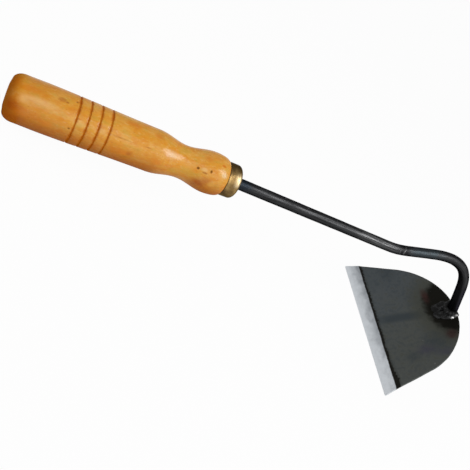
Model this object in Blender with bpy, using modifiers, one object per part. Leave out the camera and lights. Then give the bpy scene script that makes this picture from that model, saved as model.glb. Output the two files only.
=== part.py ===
"""A short garden hoe: turned handle, brass ferrule, swan-neck rod, D-shaped blade and its weld.

The tool is drawn along its handle: local +X runs from the butt to the blade, +Z is the back
of the swan neck and Y runs across. An empty then pitches it on to its cutting edge and its
butt, the way it rests on the ground, with the middle of its footprint at the origin.
"""

from math import acos, asin, atan2, cos, pi, radians, sin, sqrt, tan

import bmesh
import bpy
from mathutils import Matrix, Vector

# Gaps between pieces that touch on the real tool
SEAT_GAP = 0.0003
TANG_CLEARANCE = 0.0003
ROD_HOLE_CLEARANCE = 0.0004

# Turned wooden handle, lengths measured one after another from the butt
BUTT_FLAT_RADIUS = 0.0080
BUTT_DOME_RADIUS = 0.0108
BUTT_DOME_LENGTH = 0.0006
BUTT_CORNER_LENGTH = 0.0074
BUTT_RADIUS = 0.0159
CROWN_RADIUS = 0.0162
CROWN_FROM_BUTT = 0.0260
BARREL_FRONT_RADIUS = 0.0154
BARREL_LENGTH = 0.1010
BARREL_TO_WAIST = 0.0220
WAIST_RADIUS = 0.0121
WAIST_TO_BULB = 0.0230
BULB_RADIUS = 0.0155
BULB_TO_FERRULE = 0.0107

# Burnt lines around the barrel
GROOVE_COUNT = 4
FIRST_GROOVE = 0.0434
GROOVE_PITCH = 0.0075
GROOVE_WIDTH = 0.0013
GROOVE_DEPTH = 0.0005

# Brass ferrule, a drawn cap over the handle's tenon
FERRULE_RADIUS = 0.0128
FERRULE_LENGTH = 0.0109
FERRULE_WALL = 0.0009
FERRULE_ROUND = 0.0030

# Round steel rod: the tang that sits in the wood, then the bends towards the blade
ROD_RADIUS = 0.0044
TANG_LENGTH = 0.0780
TANG_TAPER_LENGTH = 0.0500
TANG_TIP_RADIUS = 0.0020
SAG_ANGLE = radians(-1.6)
SAG_LENGTH = 0.0060
REACH_LENGTH = 0.1419
RISE_ANGLE = radians(16.7)
RISE_LENGTH = 0.0270
CREST_LENGTH = 0.0156
TURN_DOWN_ANGLE = radians(-76.4)
TURN_DOWN_LENGTH = 0.0791
DROP_LENGTH = 0.0233
DROP_HALF_DEPTH = 0.0046
DROP_HALF_WIDTH = 0.0053

# Blade: a D-shaped plate, hollow ground on the face that looks at the handle
BLADE_WIDTH = 0.1546
BLADE_DEPTH = 0.0884
BLADE_CROWN_RADIUS = 0.0646
BLADE_CORNER_RADIUS = 0.0012
BLADE_THICKNESS = 0.0020
BLADE_RISE_ANGLE = radians(38.2)
EDGE_THICKNESS = 0.0004
GRIND_LENGTH = 0.0122
GRIND_WHEEL_RADIUS = 0.1500
FOOT_FROM_CROWN = 0.0030

# Weld: overlapping beads around the rod's foot, and a flatter pad laid towards the edge
BEAD_RADIUS = 0.0034
BEAD_HEIGHT = 0.0040
BEAD_COUNT = 9
BEAD_ARC = radians(180)
BEAD_FROM_ROD = 0.0012
PAD_RADIUS = 0.0046
PAD_ROWS = 3
PAD_FIRST_ROW = 0.0075
PAD_LAST_ROW = 0.0150
PAD_FIRST_SPREAD = 0.0064
PAD_LAST_SPREAD = 0.0036
PAD_FIRST_HEIGHT = 0.0027
PAD_LAST_HEIGHT = 0.0019

# Facets
TURNED_STEPS = 48
ROD_BEVEL_RESOLUTION = 8
ROD_SIDES = 2 * (ROD_BEVEL_RESOLUTION + 2)
EASE_STEPS = 6
BARREL_STEPS = 3
CORNER_STEPS = 3
BEND_STEP = radians(5)
CROWN_STEPS = 28
WHEEL_STEPS = 240
BEAD_SEGMENTS = 14
BEAD_RINGS = 8
MERGE_DISTANCE = 0.00001
CUTTER_MARGIN = 0.0500

# Places that follow from the sizes
WAIST_AT = BARREL_LENGTH + BARREL_TO_WAIST
BULB_AT = WAIST_AT + WAIST_TO_BULB
HANDLE_LENGTH = BULB_AT + BULB_TO_FERRULE
FERRULE_BACK = HANDLE_LENGTH + SEAT_GAP
FERRULE_FRONT = FERRULE_BACK + FERRULE_LENGTH
TENON_RADIUS = FERRULE_RADIUS - FERRULE_WALL - SEAT_GAP
TENON_FRONT = FERRULE_FRONT - FERRULE_WALL - SEAT_GAP
TANG_TIP = FERRULE_FRONT - TANG_LENGTH
TANG_SHOULDER = TANG_TIP + TANG_TAPER_LENGTH


def clear_scene() -> None:
    """Remove every object of the open scene."""
    for scene_object in list(bpy.data.objects):
        bpy.data.objects.remove(scene_object, do_unlink=True)


def new_collection(name: str) -> bpy.types.Collection:
    """Make a collection and link it to the scene."""
    collection = bpy.data.collections.new(name)
    bpy.context.scene.collection.children.link(collection)
    return collection


def new_material(name: str, colour: tuple, roughness: float, metallic: float) -> bpy.types.Material:
    """Make a Principled material of one colour."""
    material = bpy.data.materials.new(name)
    material.use_nodes = True
    shader = material.node_tree.nodes["Principled BSDF"]
    shader.inputs["Base Color"].default_value = (*colour, 1.0)
    shader.inputs["Roughness"].default_value = roughness
    shader.inputs["Metallic"].default_value = metallic
    material.diffuse_color = (*colour, 1.0)
    return material


def add_object(name: str, data, collection: bpy.types.Collection, parent=None) -> bpy.types.Object:
    """Link a new object that holds the given mesh or curve."""
    new_object = bpy.data.objects.new(name, data)
    collection.objects.link(new_object)
    new_object.parent = parent
    return new_object


def shade_round(mesh: bpy.types.Mesh, sharp_angle: float = radians(35)) -> None:
    """Shade a mesh smooth, apart from its sharp edges."""
    mesh.shade_smooth()
    mesh.set_sharp_from_angle(angle=sharp_angle)


def ease(share: float) -> float:
    """Run from 0 to 1 with no slope at either end."""
    return (1 - cos(pi * share)) / 2


def eased_run(start: tuple, end: tuple, steps: int) -> list:
    """Points from one (along, radius) station to the next, the first station left out."""
    shares = [step / steps for step in range(1, steps + 1)]
    return [
        (start[0] + (end[0] - start[0]) * share, start[1] + (end[1] - start[1]) * ease(share))
        for share in shares
    ]


def turned_mesh(name: str, section: list, closed: bool) -> bpy.types.Mesh:
    """Mesh of a section in the XZ plane, given as (along, radius), for the Screw modifier."""
    mesh = bpy.data.meshes.new(name)
    vertices = [(radius, 0, along) for along, radius in section]
    edges = [(index, index + 1) for index in range(len(vertices) - 1)]
    if closed:
        edges.append((len(vertices) - 1, 0))
    mesh.from_pydata(vertices, edges, [])
    return mesh


def turned_object(name: str, section: list, closed: bool, collection, parent) -> bpy.types.Object:
    """Turn a section about the handle's axis, with a Screw modifier."""
    turned = add_object(name, turned_mesh(name, section, closed), collection, parent)
    turned.rotation_euler = (0, pi / 2, 0)
    screw = turned.modifiers.new("turn", "SCREW")
    screw.axis = "Z"
    screw.steps = TURNED_STEPS
    screw.render_steps = TURNED_STEPS
    screw.use_merge_vertices = True
    screw.merge_threshold = MERGE_DISTANCE
    screw.use_smooth_shade = True
    return turned


def groove_places() -> list:
    """Where the burnt lines run around the barrel."""
    return [FIRST_GROOVE + GROOVE_PITCH * index for index in range(GROOVE_COUNT)]


def barrel_radius(along: float) -> float:
    """Radius of the barrel, which swells a little behind its middle."""
    corner_end = BUTT_DOME_LENGTH + BUTT_CORNER_LENGTH
    if along < CROWN_FROM_BUTT:
        share = (along - corner_end) / (CROWN_FROM_BUTT - corner_end)
        return BUTT_RADIUS + (CROWN_RADIUS - BUTT_RADIUS) * ease(share)
    share = (along - CROWN_FROM_BUTT) / (BARREL_LENGTH - CROWN_FROM_BUTT)
    return CROWN_RADIUS + (BARREL_FRONT_RADIUS - CROWN_RADIUS) * ease(share)


def butt_section() -> list:
    """The domed butt and its rounded corner, from the axis outwards."""
    points = [(0, 0), (0, BUTT_FLAT_RADIUS), (BUTT_DOME_LENGTH, BUTT_DOME_RADIUS)]
    for step in range(1, EASE_STEPS + 1):
        angle = pi / 2 * step / EASE_STEPS
        along = BUTT_DOME_LENGTH + BUTT_CORNER_LENGTH * (1 - cos(angle))
        points.append((along, BUTT_DOME_RADIUS + (BUTT_RADIUS - BUTT_DOME_RADIUS) * sin(angle)))
    return points


def barrel_section() -> list:
    """The barrel in front of the rounded corner, with its V-shaped burnt lines."""
    corner_end = BUTT_DOME_LENGTH + BUTT_CORNER_LENGTH
    swelling = ((corner_end + CROWN_FROM_BUTT) / 2, CROWN_FROM_BUTT)
    points = [(along, barrel_radius(along)) for along in swelling]
    for place in groove_places():
        half = GROOVE_WIDTH / 2
        points.append((place - half, barrel_radius(place - half)))
        points.append((place, barrel_radius(place) - GROOVE_DEPTH))
        points.append((place + half, barrel_radius(place + half)))
    last = points[-1][0]
    for step in range(1, BARREL_STEPS + 1):
        along = last + (BARREL_LENGTH - last) * step / BARREL_STEPS
        points.append((along, barrel_radius(along)))
    return points


def bulb_nose_section() -> list:
    """The bulb's front, an elliptical arc that comes down to the ferrule."""
    points = []
    for step in range(1, EASE_STEPS + 1):
        angle = pi / 2 * step / EASE_STEPS
        along = BULB_AT + BULB_TO_FERRULE * sin(angle)
        points.append((along, FERRULE_RADIUS + (BULB_RADIUS - FERRULE_RADIUS) * cos(angle)))
    return points


def tenon_section() -> list:
    """The tenon under the ferrule and the blind bore that takes the tang."""
    bore_clearance = TANG_CLEARANCE
    return [
        (HANDLE_LENGTH, TENON_RADIUS),
        (TENON_FRONT - FERRULE_ROUND, TENON_RADIUS),
        (TENON_FRONT, TENON_RADIUS - FERRULE_ROUND),
        (TENON_FRONT, ROD_RADIUS + bore_clearance),
        (TANG_SHOULDER, ROD_RADIUS + bore_clearance),
        (TANG_TIP, TANG_TIP_RADIUS + bore_clearance),
        (TANG_TIP - bore_clearance, TANG_TIP_RADIUS + bore_clearance),
        (TANG_TIP - bore_clearance, 0),
    ]


def make_handle(collection, parent) -> bpy.types.Object:
    """The turned handle: barrel, waist, bulb, tenon and bore."""
    section = butt_section() + barrel_section()
    stations = [
        (BARREL_LENGTH, BARREL_FRONT_RADIUS),
        (WAIST_AT, WAIST_RADIUS),
        (BULB_AT, BULB_RADIUS),
    ]
    for start, end in zip(stations, stations[1:]):
        section += eased_run(start, end, EASE_STEPS)
    section += bulb_nose_section() + tenon_section()
    section.reverse()
    handle = turned_object("handle", section, False, collection, parent)
    handle.data.materials.append(new_material("lacquered_wood", (0.62, 0.30, 0.07), 0.28, 0.0))
    return handle


def make_ferrule(collection, parent) -> bpy.types.Object:
    """The brass cap: a thin wall, a rounded front and the hole that the rod passes through."""
    inner_radius = FERRULE_RADIUS - FERRULE_WALL
    inner_round = FERRULE_ROUND - FERRULE_WALL
    hole_radius = ROD_RADIUS + ROD_HOLE_CLEARANCE
    round_centre = FERRULE_FRONT - FERRULE_ROUND
    section = [(FERRULE_FRONT, hole_radius)]
    for step in range(EASE_STEPS + 1):
        angle = pi / 2 * step / EASE_STEPS
        along = round_centre + FERRULE_ROUND * cos(angle)
        section.append((along, FERRULE_RADIUS - FERRULE_ROUND + FERRULE_ROUND * sin(angle)))
    section += [(FERRULE_BACK, FERRULE_RADIUS), (FERRULE_BACK, inner_radius)]
    for step in range(EASE_STEPS + 1):
        angle = pi / 2 * (1 - step / EASE_STEPS)
        along = round_centre + inner_round * cos(angle)
        section.append((along, FERRULE_RADIUS - FERRULE_ROUND + inner_round * sin(angle)))
    section.append((FERRULE_FRONT - FERRULE_WALL, hole_radius))
    ferrule = turned_object("ferrule", section, True, collection, parent)
    ferrule.data.materials.append(new_material("aged_brass", (0.51, 0.31, 0.10), 0.34, 1.0))
    return ferrule


def neck_route() -> list:
    """The rod's centre line as (position, heading, share of the drop's thicker section)."""
    runs = [
        (SAG_LENGTH, SAG_ANGLE, False),
        (REACH_LENGTH, 0.0, False),
        (RISE_LENGTH, RISE_ANGLE, False),
        (CREST_LENGTH, 0.0, False),
        (TURN_DOWN_LENGTH, TURN_DOWN_ANGLE, True),
        (DROP_LENGTH, 0.0, False),
    ]
    position = Vector((FERRULE_FRONT, 0, 0))
    heading = 0.0
    route = [(position.copy(), heading, 0.0)]
    for length, angle, thickening in runs:
        steps = max(1, round(abs(angle) / BEND_STEP))
        start_heading = heading
        for step in range(1, steps + 1):
            heading = start_heading + angle * ease((step - 0.5) / steps)
            position += Vector((cos(heading), 0, sin(heading))) * (length / steps)
            thicker = ease(step / steps) if thickening else route[-1][2]
            route.append((position.copy(), heading, thicker))
        heading = start_heading + angle
    return route


def foot_place() -> tuple:
    """Where the rod's centre line meets the blade's face, and its heading there."""
    position, heading, _thicker = neck_route()[-1]
    return position, heading


def blade_matrix() -> Matrix:
    """Frame of the blade: origin on its face over the cutting edge, +X to the crown, +Z off the face."""
    foot, _heading = foot_place()
    rotation = Matrix.Rotation(-BLADE_RISE_ANGLE, 4, "Y")
    up_blade = rotation @ Vector((1, 0, 0))
    edge_centre = foot - up_blade * (BLADE_DEPTH - FOOT_FROM_CROWN)
    return Matrix.Translation(edge_centre) @ rotation


def curve_to_mesh_object(curve_object: bpy.types.Object, collection) -> bpy.types.Object:
    """Swap a curve object for a mesh object with its caps welded on."""
    depsgraph = bpy.context.evaluated_depsgraph_get()
    mesh = bpy.data.meshes.new_from_object(curve_object.evaluated_get(depsgraph))
    shell = bmesh.new()
    shell.from_mesh(mesh)
    bmesh.ops.remove_doubles(shell, verts=shell.verts, dist=MERGE_DISTANCE)
    shell.to_mesh(mesh)
    shell.free()
    name = curve_object.name
    parent = curve_object.parent
    placed = curve_object.matrix_world.copy()
    curve_data = curve_object.data
    bpy.data.objects.remove(curve_object)
    bpy.data.curves.remove(curve_data)
    mesh_object = add_object(name, mesh, collection, parent)
    mesh_object.matrix_world = placed
    mesh.name = name
    return mesh_object


def add_cutter(name: str, mesh, collection, parent, matrix: Matrix) -> bpy.types.Object:
    """A hidden solid that cuts another, placed in the tool's own frame."""
    cutter = add_object(name, mesh, collection, parent)
    cutter.matrix_local = matrix
    cutter.hide_render = True
    cutter.display_type = "WIRE"
    return cutter


def cut(target: bpy.types.Object, cutter: bpy.types.Object) -> None:
    """Take the cutter's space out of the target."""
    boolean = target.modifiers.new(f"cut by {cutter.name}", "BOOLEAN")
    boolean.operation = "DIFFERENCE"
    boolean.object = cutter


def box_mesh(name: str, low: tuple, high: tuple) -> bpy.types.Mesh:
    """A box between two corners."""
    box = bmesh.new()
    bmesh.ops.create_cube(box, size=1.0)
    size = Vector(high) - Vector(low)
    middle = (Vector(high) + Vector(low)) / 2
    bmesh.ops.scale(box, vec=size, verts=box.verts)
    bmesh.ops.translate(box, vec=middle, verts=box.verts)
    mesh = bpy.data.meshes.new(name)
    box.to_mesh(mesh)
    box.free()
    return mesh


def cylinder_mesh(name: str, radius: float, length: float, steps: int) -> bpy.types.Mesh:
    """A closed cylinder about Z, centred on the origin."""
    cylinder = bmesh.new()
    bmesh.ops.create_cone(
        cylinder, cap_ends=True, segments=steps, radius1=radius, radius2=radius, depth=length
    )
    mesh = bpy.data.meshes.new(name)
    cylinder.to_mesh(mesh)
    cylinder.free()
    return mesh


def make_face_cutter(cutters, parent) -> bpy.types.Object:
    """The space of the blade and all below it, which the rod and the weld stay clear of."""
    low = (0, -BLADE_WIDTH / 2, -CUTTER_MARGIN)
    high = (BLADE_DEPTH + CUTTER_MARGIN, BLADE_WIDTH / 2, SEAT_GAP)
    mesh = box_mesh("blade_face_cutter", low, high)
    return add_cutter("blade_face_cutter", mesh, cutters, parent, blade_matrix())


def make_neck(face_cutter, collection, parent) -> bpy.types.Object:
    """The rod: tapered tang, bends, and a drop that is wider across than it is deep."""
    curve = bpy.data.curves.new("neck", "CURVE")
    curve.dimensions = "3D"
    curve.bevel_depth = ROD_RADIUS
    curve.bevel_resolution = ROD_BEVEL_RESOLUTION
    curve.use_fill_caps = True
    route = neck_route()
    last, heading, _thicker = route[-1]
    overrun = last + Vector((cos(heading), 0, sin(heading))) * BLADE_THICKNESS
    drop_share = DROP_HALF_DEPTH / ROD_RADIUS
    points = [
        (Vector((TANG_TIP, 0, 0)), TANG_TIP_RADIUS / ROD_RADIUS),
        (Vector((TANG_SHOULDER, 0, 0)), 1.0),
    ]
    points += [(position, 1 + (drop_share - 1) * thicker) for position, _heading, thicker in route]
    points.append((overrun, drop_share))
    spline = curve.splines.new("POLY")
    spline.points.add(len(points) - 1)
    for point, (position, share) in zip(spline.points, points):
        point.co = (*position, 1)
        point.radius = share
    neck = curve_to_mesh_object(add_object("neck", curve, collection, parent), collection)
    widen_drop(neck.data, route)
    shade_round(neck.data)
    cut(neck, face_cutter)
    neck.data.materials.append(new_material("black_rod_steel", (0.035, 0.035, 0.037), 0.42, 0.85))
    return neck


def widen_drop(mesh: bpy.types.Mesh, route: list) -> None:
    """Spread the rod sideways through the turn, as forging it flat does."""
    turn_start = max(position.x for position, _heading, thicker in route if thicker == 0)
    turn_end = min(position.x for position, _heading, thicker in route if thicker == 1)
    spread = DROP_HALF_WIDTH / DROP_HALF_DEPTH - 1
    for vertex in mesh.vertices:
        share = (vertex.co.x - turn_start) / (turn_end - turn_start)
        vertex.co.y *= 1 + spread * ease(min(1.0, max(0.0, share)))


def blade_half_outline() -> list:
    """Half of the D, as (up the blade, across): corner, straight side, then the crown's arc."""
    corner = Vector((0, BLADE_WIDTH / 2))
    crown_centre = Vector((BLADE_DEPTH - BLADE_CROWN_RADIUS, 0))
    to_centre = crown_centre - corner
    side_angle = atan2(to_centre.y, to_centre.x) + asin(BLADE_CROWN_RADIUS / to_centre.length)
    side = Vector((cos(side_angle), sin(side_angle)))
    corner_angle = acos(side.dot(Vector((0, -1))))
    setback = BLADE_CORNER_RADIUS / tan(corner_angle / 2)
    outline = []
    for step in range(CORNER_STEPS + 1):
        share = step / CORNER_STEPS
        start = corner + Vector((0, -setback)) * (1 - share)
        end = corner + side * setback * share
        outline.append(start * (1 - share) + end * share)
    tangent_angle = side_angle + pi / 2
    for step in range(CROWN_STEPS // 2 + 1):
        angle = tangent_angle * (1 - step / (CROWN_STEPS // 2))
        outline.append(crown_centre + Vector((cos(angle), sin(angle))) * BLADE_CROWN_RADIUS)
    return outline


def make_blade(collection, cutters, parent) -> bpy.types.Object:
    """The D-shaped plate with its hollow-ground edge."""
    half = blade_half_outline()
    outline = half + [Vector((point.x, -point.y)) for point in reversed(half[:-1])]
    curve = bpy.data.curves.new("blade", "CURVE")
    curve.dimensions = "2D"
    curve.fill_mode = "BOTH"
    curve.extrude = BLADE_THICKNESS / 2
    spline = curve.splines.new("POLY")
    spline.points.add(len(outline) - 1)
    for point, place in zip(spline.points, outline):
        point.co = (place.x, place.y, 0, 1)
    spline.use_cyclic_u = True
    blade = curve_to_mesh_object(add_object("blade", curve, collection, parent), collection)
    blade.matrix_local = blade_matrix() @ Matrix.Translation((0, 0, -BLADE_THICKNESS / 2))
    cut(blade, make_grinding_wheel(cutters, parent))
    blade.data.materials.append(new_material("dark_blade_steel", (0.075, 0.08, 0.085), 0.45, 0.8))
    return blade


def make_grinding_wheel(cutters, parent) -> bpy.types.Object:
    """The wheel that grinds the edge: it leaves the edge's thickness and stops at the shoulder."""
    edge = Vector((0, EDGE_THICKNESS - BLADE_THICKNESS))
    shoulder = Vector((GRIND_LENGTH, 0))
    chord = shoulder - edge
    outward = Vector((-chord.y, chord.x)).normalized()
    centre = (edge + shoulder) / 2 + outward * sqrt(GRIND_WHEEL_RADIUS**2 - (chord.length / 2) ** 2)
    placed = Matrix.Translation((centre.x, 0, centre.y)) @ Matrix.Rotation(pi / 2, 4, "X")
    mesh = cylinder_mesh(
        "grinding_wheel", GRIND_WHEEL_RADIUS, BLADE_WIDTH + CUTTER_MARGIN, WHEEL_STEPS
    )
    return add_cutter("grinding_wheel", mesh, cutters, parent, blade_matrix() @ placed)


def bead_places() -> list:
    """Centres and radii of the weld's lumps in the blade's frame, mirrored about its middle."""
    foot_along = BLADE_DEPTH - FOOT_FROM_CROWN
    places = []
    for index in range(BEAD_COUNT):
        angle = pi + BEAD_ARC * (index / (BEAD_COUNT - 1) - 0.5)
        along = foot_along + (DROP_HALF_DEPTH + BEAD_FROM_ROD) * cos(angle)
        across = (DROP_HALF_WIDTH + BEAD_FROM_ROD) * sin(angle)
        places.append((along, across, BEAD_RADIUS, BEAD_HEIGHT))
    for row in range(PAD_ROWS):
        share = row / (PAD_ROWS - 1)
        along = foot_along - PAD_FIRST_ROW - (PAD_LAST_ROW - PAD_FIRST_ROW) * share
        across = PAD_FIRST_SPREAD + (PAD_LAST_SPREAD - PAD_FIRST_SPREAD) * share
        height = PAD_FIRST_HEIGHT + (PAD_LAST_HEIGHT - PAD_FIRST_HEIGHT) * share
        places.append((along, across, PAD_RADIUS, height))
        places.append((along, -across, PAD_RADIUS, height))
    return places


def lump_mesh(name: str, along: float, across: float, radius: float, height: float) -> bpy.types.Mesh:
    """One lump of the weld, a flattened ball on the blade's face."""
    lump = bmesh.new()
    bmesh.ops.create_uvsphere(lump, u_segments=BEAD_SEGMENTS, v_segments=BEAD_RINGS, radius=1.0)
    bmesh.ops.scale(lump, vec=(radius, radius, height), verts=lump.verts)
    bmesh.ops.translate(lump, vec=(along, across, 0), verts=lump.verts)
    mesh = bpy.data.meshes.new(name)
    lump.to_mesh(mesh)
    lump.free()
    return mesh


def make_weld(face_cutter, collection, cutters, parent) -> bpy.types.Object:
    """The weld bead: its lumps joined, then trimmed to the rod's foot and the blade's face."""
    first, *others = bead_places()
    weld = add_object("weld_bead", lump_mesh("weld_bead", *first), collection, parent)
    weld.matrix_local = blade_matrix()
    for number, place in enumerate(others, start=2):
        mesh = lump_mesh(f"weld_lump_{number}", *place)
        lump = add_cutter(f"weld_lump_{number}", mesh, cutters, parent, blade_matrix())
        union = weld.modifiers.new(f"join {lump.name}", "BOOLEAN")
        union.operation = "UNION"
        union.object = lump
    foot, heading = foot_place()
    core = cylinder_mesh("rod_foot_cutter", 1.0, 2 * CUTTER_MARGIN, ROD_SIDES)
    core.transform(Matrix.Diagonal((DROP_HALF_DEPTH + SEAT_GAP, DROP_HALF_WIDTH + SEAT_GAP, 1, 1)))
    placed = Matrix.Translation(foot) @ Matrix.Rotation(pi / 2 - heading, 4, "Y")
    cut(weld, add_cutter("rod_foot_cutter", core, cutters, parent, placed))
    cut(weld, face_cutter)
    weld.data.materials.append(new_material("weld_scale", (0.02, 0.02, 0.02), 0.55, 0.7))
    return weld


def outer_points(parts: list) -> dict:
    """Corners of each finished piece, in the frame of the tool."""
    bpy.context.view_layer.update()
    depsgraph = bpy.context.evaluated_depsgraph_get()
    points = {}
    for part in parts:
        finished = part.evaluated_get(depsgraph)
        mesh = finished.to_mesh()
        points[part.name] = [finished.matrix_world @ vertex.co for vertex in mesh.vertices]
        finished.to_mesh_clear()
    return points


def set_down(stance: bpy.types.Object, parts: list) -> None:
    """Pitch the tool on to its butt and cutting edge, and centre its footprint on the origin."""
    points = outer_points(parts)
    pitch = 0.0
    for _round in range(EASE_STEPS):
        turn = Matrix.Rotation(-pitch, 3, "Y")
        butt = min((turn @ point for point in points["handle"]), key=lambda place: place.z)
        edge = min((turn @ point for point in points["blade"]), key=lambda place: place.z)
        pitch += atan2(butt.z - edge.z, edge.x - butt.x)
    turn = Matrix.Rotation(-pitch, 3, "Y")
    turned = [turn @ point for part_points in points.values() for point in part_points]
    middle = (min(point.x for point in turned) + max(point.x for point in turned)) / 2
    floor = min(point.z for point in turned)
    stance.rotation_euler = (0, -pitch, 0)
    stance.location = (-middle, 0, -floor)


def build() -> None:
    """Build the whole hoe."""
    clear_scene()
    parts_collection = new_collection("garden_hoe")
    cutters = new_collection("garden_hoe_cutters")
    stance = add_object("stance", None, parts_collection)
    face_cutter = make_face_cutter(cutters, stance)
    parts = [
        make_handle(parts_collection, stance),
        make_ferrule(parts_collection, stance),
        make_neck(face_cutter, parts_collection, stance),
        make_blade(parts_collection, cutters, stance),
        make_weld(face_cutter, parts_collection, cutters, stance),
    ]
    set_down(stance, parts)
    bpy.context.view_layer.update()


build()
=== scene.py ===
"""Looks of a short garden hoe: turned handle, brass ferrule, swan neck, D-shaped blade, weld.

Grip, ferrule and rod are modelled in the tool's own frame, where +X runs from the butt to the
blade and +Z is the back of the swan neck, plate and weld in a frame on the blade's face. Each
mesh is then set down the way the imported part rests, on its butt and its cutting edge. Lengths
are metres.
"""

import logging
import random
from dataclasses import dataclass, field
from enum import Enum
from math import acos, asin, atan2, cos, pi, radians, sin, tan

import bmesh
import bpy
from mathutils import Matrix, Vector, noise


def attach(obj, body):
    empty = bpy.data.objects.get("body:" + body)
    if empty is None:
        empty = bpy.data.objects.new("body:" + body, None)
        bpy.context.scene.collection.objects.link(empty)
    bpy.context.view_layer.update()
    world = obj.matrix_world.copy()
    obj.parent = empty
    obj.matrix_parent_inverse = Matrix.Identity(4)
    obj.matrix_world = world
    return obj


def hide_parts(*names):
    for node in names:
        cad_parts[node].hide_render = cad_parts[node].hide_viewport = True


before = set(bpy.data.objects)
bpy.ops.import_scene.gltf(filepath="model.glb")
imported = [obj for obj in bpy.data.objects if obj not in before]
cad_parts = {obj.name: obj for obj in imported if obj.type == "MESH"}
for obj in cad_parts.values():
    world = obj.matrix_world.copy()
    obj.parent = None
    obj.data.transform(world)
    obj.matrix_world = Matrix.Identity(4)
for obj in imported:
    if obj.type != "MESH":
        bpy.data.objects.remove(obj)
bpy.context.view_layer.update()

LOG = logging.getLogger("garden_hoe")
BODY = "root"
MERGE_DISTANCE = 0.000005
FULL_TURN = 2 * pi
QUARTER_TURN = pi / 2
UPWARDS = Vector((0, 0, 1))

Colour = tuple[float, float, float]
Place = tuple[float, float, float]
# Where a mask is 0 and where it is 1
Fade = tuple[float, float]
Section = list[tuple[float, float]]


class Slot(Enum):
    """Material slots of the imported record."""

    WOOD = "lacquered_wood"
    BRASS = "aged_brass"
    ROD = "black_rod_steel"
    BLADE = "dark_blade_steel"
    WELD = "weld_scale"


# Shader wiring


class Wire:
    """A value on its way through a shader; Python's operators add its Math nodes."""

    def __init__(self, wiring: "Wiring", socket: bpy.types.NodeSocket) -> None:
        """Wrap a socket.

        Args:
            wiring: the nodes that the socket belongs to.
            socket: the output that is wrapped.
        """
        self.wiring = wiring
        self.socket = socket

    def beside(self, output: str) -> "Wire":
        """Another output of the node that this value comes from."""
        return Wire(self.wiring, self.socket.node.outputs[output])

    def maths(self, operation: str, *values: "Wire | float") -> "Wire":
        """Send values through one Math node, in the order of its sockets."""
        return self.wiring.node("ShaderNodeMath", {"operation": operation}, dict(enumerate(values)))

    def __add__(self, other: "Wire | float") -> "Wire":
        """Sum of two values."""
        return self.maths("ADD", self, other)

    __radd__ = __add__

    def __mul__(self, other: "Wire | float") -> "Wire":
        """Product of two values."""
        return self.maths("MULTIPLY", self, other)

    __rmul__ = __mul__

    def __sub__(self, other: "Wire | float") -> "Wire":
        """Difference of two values."""
        return self.maths("SUBTRACT", self, other)

    def __rsub__(self, other: float) -> "Wire":
        """Difference of a number and this value."""
        return self.maths("SUBTRACT", other, self)

    def __truediv__(self, other: "Wire | float") -> "Wire":
        """Quotient of two values."""
        return self.maths("DIVIDE", self, other)

    def __pow__(self, other: float) -> "Wire":
        """This value to a power."""
        return self.maths("POWER", self, other)

    def __abs__(self) -> "Wire":
        """Size of this value, without its sign."""
        return self.maths("ABSOLUTE", self)

    def cosine(self) -> "Wire":
        """Cosine of this value, in radians."""
        return self.maths("COSINE", self)

    def smaller(self, other: "Wire | float") -> "Wire":
        """The smaller of two values."""
        return self.maths("MINIMUM", self, other)

    def larger(self, other: "Wire | float") -> "Wire":
        """The larger of two values."""
        return self.maths("MAXIMUM", self, other)

    def limited(self) -> "Wire":
        """This value, kept between 0 and 1."""
        return self.wiring.node("ShaderNodeClamp", {}, {"Value": self})

    def ramp(self, low: float, high: float) -> "Wire":
        """Ease from 0 at low to 1 at high; high may be the smaller.

        Args:
            low: value at which the result is 0.
            high: value at which the result is 1.

        Returns:
            A mask from 0 to 1.
        """
        ends = {"From Min": min(low, high), "From Max": max(low, high)}
        settings = {"interpolation_type": "SMOOTHSTEP"}
        eased = self.wiring.node("ShaderNodeMapRange", settings, {"Value": self, **ends})
        return 1 - eased if high < low else eased

    def near(self, place: "Wire | float", fade: Fade) -> "Wire":
        """Mask of a band about a place, which fades with the distance from it."""
        return abs(self - place).ramp(*fade)


class Wiring:
    """A tree of shader nodes, and the one way in which nodes are added to it."""

    def __init__(self, tree: bpy.types.NodeTree) -> None:
        """Take over a tree."""
        self.tree = tree

    def feed(self, socket: bpy.types.NodeSocket, value: "Wire | float | tuple") -> None:
        """Link a wire to a socket, or set the socket's own value.

        Args:
            socket: the input to feed.
            value: a wire, a number, a vector or a colour.
        """
        if isinstance(value, Wire):
            self.tree.links.new(value.socket, socket)
        elif socket.type == "RGBA":
            socket.default_value = (*value, 1.0)
        else:
            socket.default_value = value

    def node(self, kind: str, settings: dict, inputs: dict, output: int | str = 0) -> Wire:
        """Add a node.

        Args:
            kind: the node's type.
            settings: its properties, set first.
            inputs: values or wires by socket name or number.
            output: the socket that is returned.

        Returns:
            The chosen output.
        """
        added = self.tree.nodes.new(kind)
        for name, value in settings.items():
            setattr(added, name, value)
        for key, value in inputs.items():
            self.feed(added.inputs[key], value)
        return Wire(self, added.outputs[output])

    def axes(self, place: Wire) -> tuple[Wire, Wire, Wire]:
        """Split a vector into its three parts."""
        split = self.node("ShaderNodeSeparateXYZ", {}, {0: place}, "X")
        return split, split.beside("Y"), split.beside("Z")


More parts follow.
